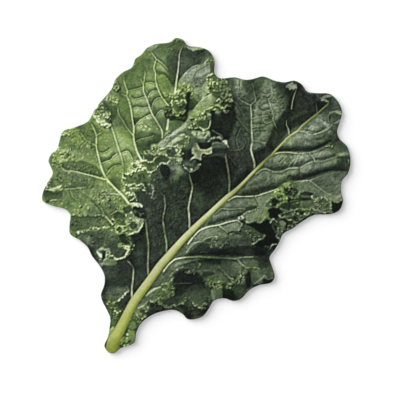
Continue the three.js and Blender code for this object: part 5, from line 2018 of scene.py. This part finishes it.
# %% [markdown]
# ## Ink on the sheet
#
# Each mesh point looks up the artboard dot under it and keeps the four values as attributes.
# The material reads them back. Attributes travel with the mesh, so the print stays in place
# from any side.

# %% Look up the ink


def ink_at(field, x, y):
    """Read an artboard field at places in metres."""
    column = np.clip((x / UNIT + MIDDLE_X - BOARD_LEFT) / DOT, 0, COLUMNS - 1.001)
    row = np.clip((MIDDLE_Y - y / UNIT - BOARD_TOP) / DOT, 0, ROWS - 1.001)
    i, j = column.astype(int), row.astype(int)
    a, b = column - i, row - j
    upper = field[j, i] * (1 - a) + field[j, i + 1] * a
    lower = field[j + 1, i] * (1 - a) + field[j + 1, i + 1] * a
    return upper * (1 - b) + lower * b


def finish_mesh(shape, name, node):
    """Turn a bmesh into a piece that rides on the model and stands for a node."""
    mesh = bpy.data.meshes.new(name)
    shape.to_mesh(mesh)
    shape.free()
    piece = bpy.data.objects.new(name, mesh)
    bpy.context.scene.collection.objects.link(piece)
    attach(piece, "root")
    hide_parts(node)
    return piece


print_sheet = finish_mesh(sheet, "leaf_print_sheet", "printed_face")
places = np.empty(len(print_sheet.data.vertices) * 3)
print_sheet.data.vertices.foreach_get("co", places)
places = places.reshape(-1, 3)
inks = {"ink_shade": shade / 255, "ink_fresh": fresh, "ink_pale": pale, "ink_sap": sap}
for name, field in inks.items():
    layer = print_sheet.data.attributes.new(name, "FLOAT", "POINT")
    layer.data.foreach_set("value", ink_at(field, places[:, 0], places[:, 1]).astype(np.float32))
for face in print_sheet.data.polygons:
    face.use_smooth = abs(face.normal.z) > 0.2
print("inked", len(places), "points")

# %% [markdown]
# ## Printed vinyl
#
# Ink on matte vinyl has a dull, even surface. Four colour ramps turn the shade value into the
# inks of the old leaf, the young leaf, the pale ribs and the yellow-green stalk, and the
# masks mix them. Fine noise stands for the printer's dots and the vinyl's grain.

# %% Ink ramps
LIGHT_ON_PRINT = 1.32
SHADE_STOPS = (0, 25, 40, 60, 80, 100, 122, 150, 182, 215, 255)
OLD_LEAF_INKS = (
    (2, 3, 2), (18, 23, 19), (39, 46, 39), (55, 64, 53), (75, 86, 69), (94, 106, 86),
    (115, 127, 107), (140, 151, 130), (174, 184, 156), (209, 216, 186), (246, 249, 236),
)
YOUNG_LEAF_INKS = (
    (2, 4, 2), (22, 31, 21), (40, 51, 35), (56, 74, 45), (73, 92, 57), (90, 112, 67),
    (110, 134, 73), (138, 162, 91), (171, 191, 129), (208, 221, 167), (246, 251, 226),
)
RIB_INKS = (
    (12, 16, 6), (42, 47, 25), (59, 64, 36), (74, 84, 45), (94, 102, 56), (114, 120, 69),
    (133, 139, 85), (157, 163, 106), (187, 191, 139), (217, 221, 179), (251, 251, 231),
)
STALK_INKS = (
    (5, 9, 1), (38, 44, 18), (53, 60, 24), (70, 80, 29), (90, 100, 34), (108, 120, 42),
    (128, 139, 54), (151, 161, 75), (185, 193, 114), (217, 221, 161), (251, 251, 221),
)


def linear(colour):
    """A screen colour from 0 to 255 as the linear colour that gives it under our light."""
    screen = np.array(colour) / 255
    plain = np.where(screen <= 0.04045, screen / 12.92, ((screen + 0.055) / 1.055) ** 2.4)
    return tuple(plain / LIGHT_ON_PRINT) + (1.0,)


def ramp_node(tree, inks, label, shade_socket):
    """A colour ramp from shade to ink."""
    node = tree.nodes.new("ShaderNodeValToRGB")
    node.label = label
    stops = node.color_ramp.elements
    while len(stops) < len(inks):
        stops.new(1.0)
    for stop, place, colour in zip(stops, SHADE_STOPS, inks):
        stop.position = place / 255
        stop.color = linear(colour)
    tree.links.new(shade_socket, node.inputs["Fac"])
    return node.outputs["Color"]


def reader(tree, name):
    """The value of one of the ink fields."""
    node = tree.nodes.new("ShaderNodeAttribute")
    node.attribute_name = name
    return node.outputs["Fac"]


def mixer(tree, factor, first, second):
    """Mix two colours; each value may be a socket or a plain value."""
    node = tree.nodes.new("ShaderNodeMix")
    node.data_type = "RGBA"
    factor_socket, first_socket, second_socket = node.inputs[0], node.inputs[6], node.inputs[7]
    pairs = ((factor_socket, factor), (first_socket, first), (second_socket, second))
    for socket, value in pairs:
        if isinstance(value, bpy.types.NodeSocket):
            tree.links.new(value, socket)
        else:
            socket.default_value = value
    return node.outputs[2]


print(len(SHADE_STOPS), "ink stops in each ramp")

# %% [markdown]
# Vinyl and rubber both have a fine grain, so the grain is a node group of its own, with its
# size and detail as inputs. Each material places it with its own values.

# %% Fine grain group
fine_grain = bpy.data.node_groups.new("fine_grain", "ShaderNodeTree")
for socket_name in ("Scale", "Detail"):
    fine_grain.interface.new_socket(socket_name, in_out="INPUT", socket_type="NodeSocketFloat")
fine_grain.interface.new_socket("Grain", in_out="OUTPUT", socket_type="NodeSocketFloat")
values_in = fine_grain.nodes.new("NodeGroupInput")
value_out = fine_grain.nodes.new("NodeGroupOutput")
where = fine_grain.nodes.new("ShaderNodeTexCoord")
noise = fine_grain.nodes.new("ShaderNodeTexNoise")
fine_grain.links.new(where.outputs["Object"], noise.inputs["Vector"])
fine_grain.links.new(values_in.outputs["Scale"], noise.inputs["Scale"])
fine_grain.links.new(values_in.outputs["Detail"], noise.inputs["Detail"])
fine_grain.links.new(noise.outputs["Fac"], value_out.inputs["Grain"])


def grain_node(tree, scale, detail):
    """Place the fine grain in a material and give its output socket."""
    node = tree.nodes.new("ShaderNodeGroup")
    node.node_tree = fine_grain
    node.inputs["Scale"].default_value = scale
    node.inputs["Detail"].default_value = detail
    return node.outputs["Grain"]


def grain_bump(tree, grain, strength, depth):
    """Let the grain tilt the surface of a material."""
    bump = tree.nodes.new("ShaderNodeBump")
    bump.inputs["Strength"].default_value = strength
    bump.inputs["Distance"].default_value = depth
    tree.links.new(grain, bump.inputs["Height"])
    tree.links.new(bump.outputs["Normal"], tree.nodes["Principled BSDF"].inputs["Normal"])


print("grain group with", len(fine_grain.nodes), "nodes")

# %% Printed vinyl material
VINYL_GRAIN_SCALE = 900.0
GRAIN_AMOUNT = 0.10
GRAIN_DEPTH = 0.0002

vinyl = bpy.data.materials.new("printed_vinyl_matte")
vinyl.use_nodes = True
tree = vinyl.node_tree
shader = tree.nodes["Principled BSDF"]
shader.inputs["Roughness"].default_value = 0.62
shader.inputs["Specular IOR Level"].default_value = 0.05
grain = grain_node(tree, VINYL_GRAIN_SCALE, 2.0)
speckle = tree.nodes.new("ShaderNodeMapRange")
speckle.inputs["To Min"].default_value = -GRAIN_AMOUNT
speckle.inputs["To Max"].default_value = GRAIN_AMOUNT
tree.links.new(grain, speckle.inputs["Value"])
adder = tree.nodes.new("ShaderNodeMath")
tree.links.new(reader(tree, "ink_shade"), adder.inputs[0])
tree.links.new(speckle.outputs["Result"], adder.inputs[1])
grained = adder.outputs[0]
inked = ramp_node(tree, OLD_LEAF_INKS, "old leaf", grained)
for mask, inks, label in (
    ("ink_fresh", YOUNG_LEAF_INKS, "young leaf"),
    ("ink_pale", RIB_INKS, "rib"),
    ("ink_sap", STALK_INKS, "stalk"),
):
    inked = mixer(tree, reader(tree, mask), inked, ramp_node(tree, inks, label, grained))
tree.links.new(inked, shader.inputs["Base Color"])
grain_bump(tree, grain, 0.08, GRAIN_DEPTH)
print_sheet.data.materials.append(vinyl)
print("vinyl material with", len(tree.nodes), "nodes")

# %% [markdown]
# ## The rubber backing
#
# The underside of such a mat is moulded with small studs so that it grips the table. We fill
# the outline with one face, cut it into squares by parallel planes, and press each whole
# square outwards as a stud. The side wall is extruded up to the seam.

# %% Cut the underside into squares
STUD_PITCH = 0.007
STUD_HEIGHT = 0.0005
STUD_GAP = 0.0008
OUTLINE_STEP = 3
CUT_TOLERANCE = 1e-7


def faces_down(face):
    """True for a face that looks at the table."""
    return face.normal.z < -0.9


backing = bmesh.new()
base_ring = [backing.verts.new((x, y, CAD_LOW.z + STUD_HEIGHT)) for x, y in outline[::OUTLINE_STEP]]
base_face = backing.faces.new(base_ring)
walls = bmesh.ops.extrude_face_region(backing, geom=[base_face])["geom"]
bmesh.ops.translate(
    backing,
    vec=(0, 0, SEAM_HEIGHT - CAD_LOW.z - STUD_HEIGHT),
    verts=[g for g in walls if isinstance(g, bmesh.types.BMVert)],
)
bmesh.ops.recalc_face_normals(backing, faces=backing.faces)
for axis in (0, 1):
    low, high = CAD_LOW[axis], CAD_HIGH[axis]
    direction = (1, 0, 0) if axis == 0 else (0, 1, 0)
    for step in range(1, int((high - low) / STUD_PITCH) + 1):
        plane = [0.0, 0.0, 0.0]
        plane[axis] = low + step * STUD_PITCH
        under = [f for f in backing.faces if faces_down(f)]
        geometry = under + list({e for f in under for e in f.edges})
        geometry += list({v for f in under for v in f.verts})
        bmesh.ops.bisect_plane(
            backing, geom=geometry, dist=CUT_TOLERANCE, plane_co=plane, plane_no=direction
        )
print("underside cut into", sum(faces_down(f) for f in backing.faces), "faces")

# %% Press out the studs
whole = [
    f for f in backing.faces
    if faces_down(f) and len(f.verts) == 4 and abs(f.calc_area() - STUD_PITCH**2) < 1e-7
]
bmesh.ops.inset_individual(backing, faces=whole, thickness=STUD_GAP, depth=0.0)
bmesh.ops.inset_individual(backing, faces=whole, thickness=STUD_HEIGHT / 2, depth=STUD_HEIGHT)
print(len(whole), "studs, lowest point", round(min(v.co.z for v in backing.verts), 5))
rubber_backing = finish_mesh(backing, "studded_rubber_backing", "rubber_backing")

# %% [markdown]
# ## Black rubber
#
# Rubber is never one flat black. A cloudy noise makes it dusty in places, a finer one gives
# its moulded grain, and the roughness follows both.

# %% Rubber material
DUST_SCALE = 60.0
RUBBER_GRAIN_SCALE = 1800.0
CLEAN_RUBBER = (0.010, 0.010, 0.011, 1)
DUSTY_RUBBER = (0.030, 0.030, 0.029, 1)
rubber = bpy.data.materials.new("moulded_black_rubber")
rubber.use_nodes = True
tree = rubber.node_tree
shader = tree.nodes["Principled BSDF"]
dust = grain_node(tree, DUST_SCALE, 4.0)
tint = mixer(tree, dust, CLEAN_RUBBER, DUSTY_RUBBER)
tree.links.new(tint, shader.inputs["Base Color"])
rough = tree.nodes.new("ShaderNodeMapRange")
rough.inputs["To Min"].default_value = 0.70
rough.inputs["To Max"].default_value = 0.92
tree.links.new(dust, rough.inputs["Value"])
tree.links.new(rough.outputs["Result"], shader.inputs["Roughness"])
grain_bump(tree, grain_node(tree, RUBBER_GRAIN_SCALE, 4.0), 0.3, GRAIN_DEPTH)
rubber_backing.data.materials.append(rubber)
print("rubber material with", len(tree.nodes), "nodes")

# %% [markdown]
# ## Floor, light and camera
#
# The mat lies flat on a bright white surface. A wide soft lamp stands low on the upper left,
# so the mat throws a short soft shadow to the lower right. A second lamp straight above lights
# the print evenly, and a dim light from all round fills the shadows. The floor glows a little,
# as a light table does, which keeps it white.

# %% White floor
FLOOR_SIZE = 6.0
FLOOR_DROP = 0.0002
PAPER_COLOUR = (0.60, 0.60, 0.60, 1)
PAPER_GLOW = 0.22

floor_shape = bmesh.new()
bmesh.ops.create_grid(floor_shape, x_segments=1, y_segments=1, size=FLOOR_SIZE / 2)
bmesh.ops.translate(floor_shape, vec=(0, 0, CAD_LOW.z - FLOOR_DROP), verts=floor_shape.verts)
floor_mesh = bpy.data.meshes.new("white_floor")
floor_shape.to_mesh(floor_mesh)
floor_shape.free()
floor = bpy.data.objects.new("white_floor", floor_mesh)
bpy.context.scene.collection.objects.link(floor)
floor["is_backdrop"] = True
paper = bpy.data.materials.new("white_paper")
paper.use_nodes = True
shader = paper.node_tree.nodes["Principled BSDF"]
shader.inputs["Base Color"].default_value = PAPER_COLOUR
shader.inputs["Roughness"].default_value = 1.0
shader.inputs["Specular IOR Level"].default_value = 0.0
shader.inputs["Emission Color"].default_value = (1, 1, 1, 1)
shader.inputs["Emission Strength"].default_value = PAPER_GLOW
floor_mesh.materials.append(paper)
print("floor", FLOOR_SIZE, "m wide")

# %% Soft lamps
FILL_LIGHT = 0.10
KEY_LIGHT = 7.0
KEY_HEIGHT = np.radians(22)
KEY_FROM = np.radians(145)
KEY_SPREAD = np.radians(70)
TOP_LIGHT = 1.22
TOP_SPREAD = np.radians(30)
scene = bpy.context.scene
world = bpy.data.worlds.new("even_light")
world.use_nodes = True
world.node_tree.nodes["Background"].inputs["Color"].default_value = (1, 1, 1, 1)
world.node_tree.nodes["Background"].inputs["Strength"].default_value = FILL_LIGHT
scene.world = world


def soft_lamp(name, strength, spread, height, direction):
    """A far lamp seen at a height and compass direction, both in radians."""
    lamp = bpy.data.lights.new(name, "SUN")
    lamp.energy = strength
    lamp.angle = spread
    lamp_object = bpy.data.objects.new(name, lamp)
    scene.collection.objects.link(lamp_object)
    lamp_object.rotation_euler = (0, np.pi / 2 - height, direction)


soft_lamp("wide_lamp_upper_left", KEY_LIGHT, KEY_SPREAD, KEY_HEIGHT, KEY_FROM)
soft_lamp("lamp_overhead", TOP_LIGHT, TOP_SPREAD, np.pi / 2, 0)
scene.view_settings.view_transform = "Standard"
print("key light", KEY_LIGHT, "top light", TOP_LIGHT, "fill", FILL_LIGHT)

# %% Camera straight above
VIEW_WIDTH = 0.4795
CAMERA_HEIGHT = 3.2
VIEW_X, VIEW_Y = 0.0046, -0.0051
camera = bpy.data.cameras.new("camera_above")
camera.sensor_width = 36.0
camera.lens = camera.sensor_width * (CAMERA_HEIGHT - TOP_HEIGHT) / VIEW_WIDTH
camera.clip_end = 20.0
camera_object = bpy.data.objects.new("camera_above", camera)
camera_object.location = (VIEW_X, VIEW_Y, CAMERA_HEIGHT)
scene.collection.objects.link(camera_object)
scene.camera = camera_object
print("lens", round(camera.lens, 1), "mm")

# %% [markdown]
# ## The size at the end
#
# The visual model is made to stay in the imported model's box. Its own box is printed here,
# to set beside the size printed at the start.

# %% Sizes and finish
low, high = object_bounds()
print("visual model", [round(v, 4) for v in low], "to", [round(v, 4) for v in high])
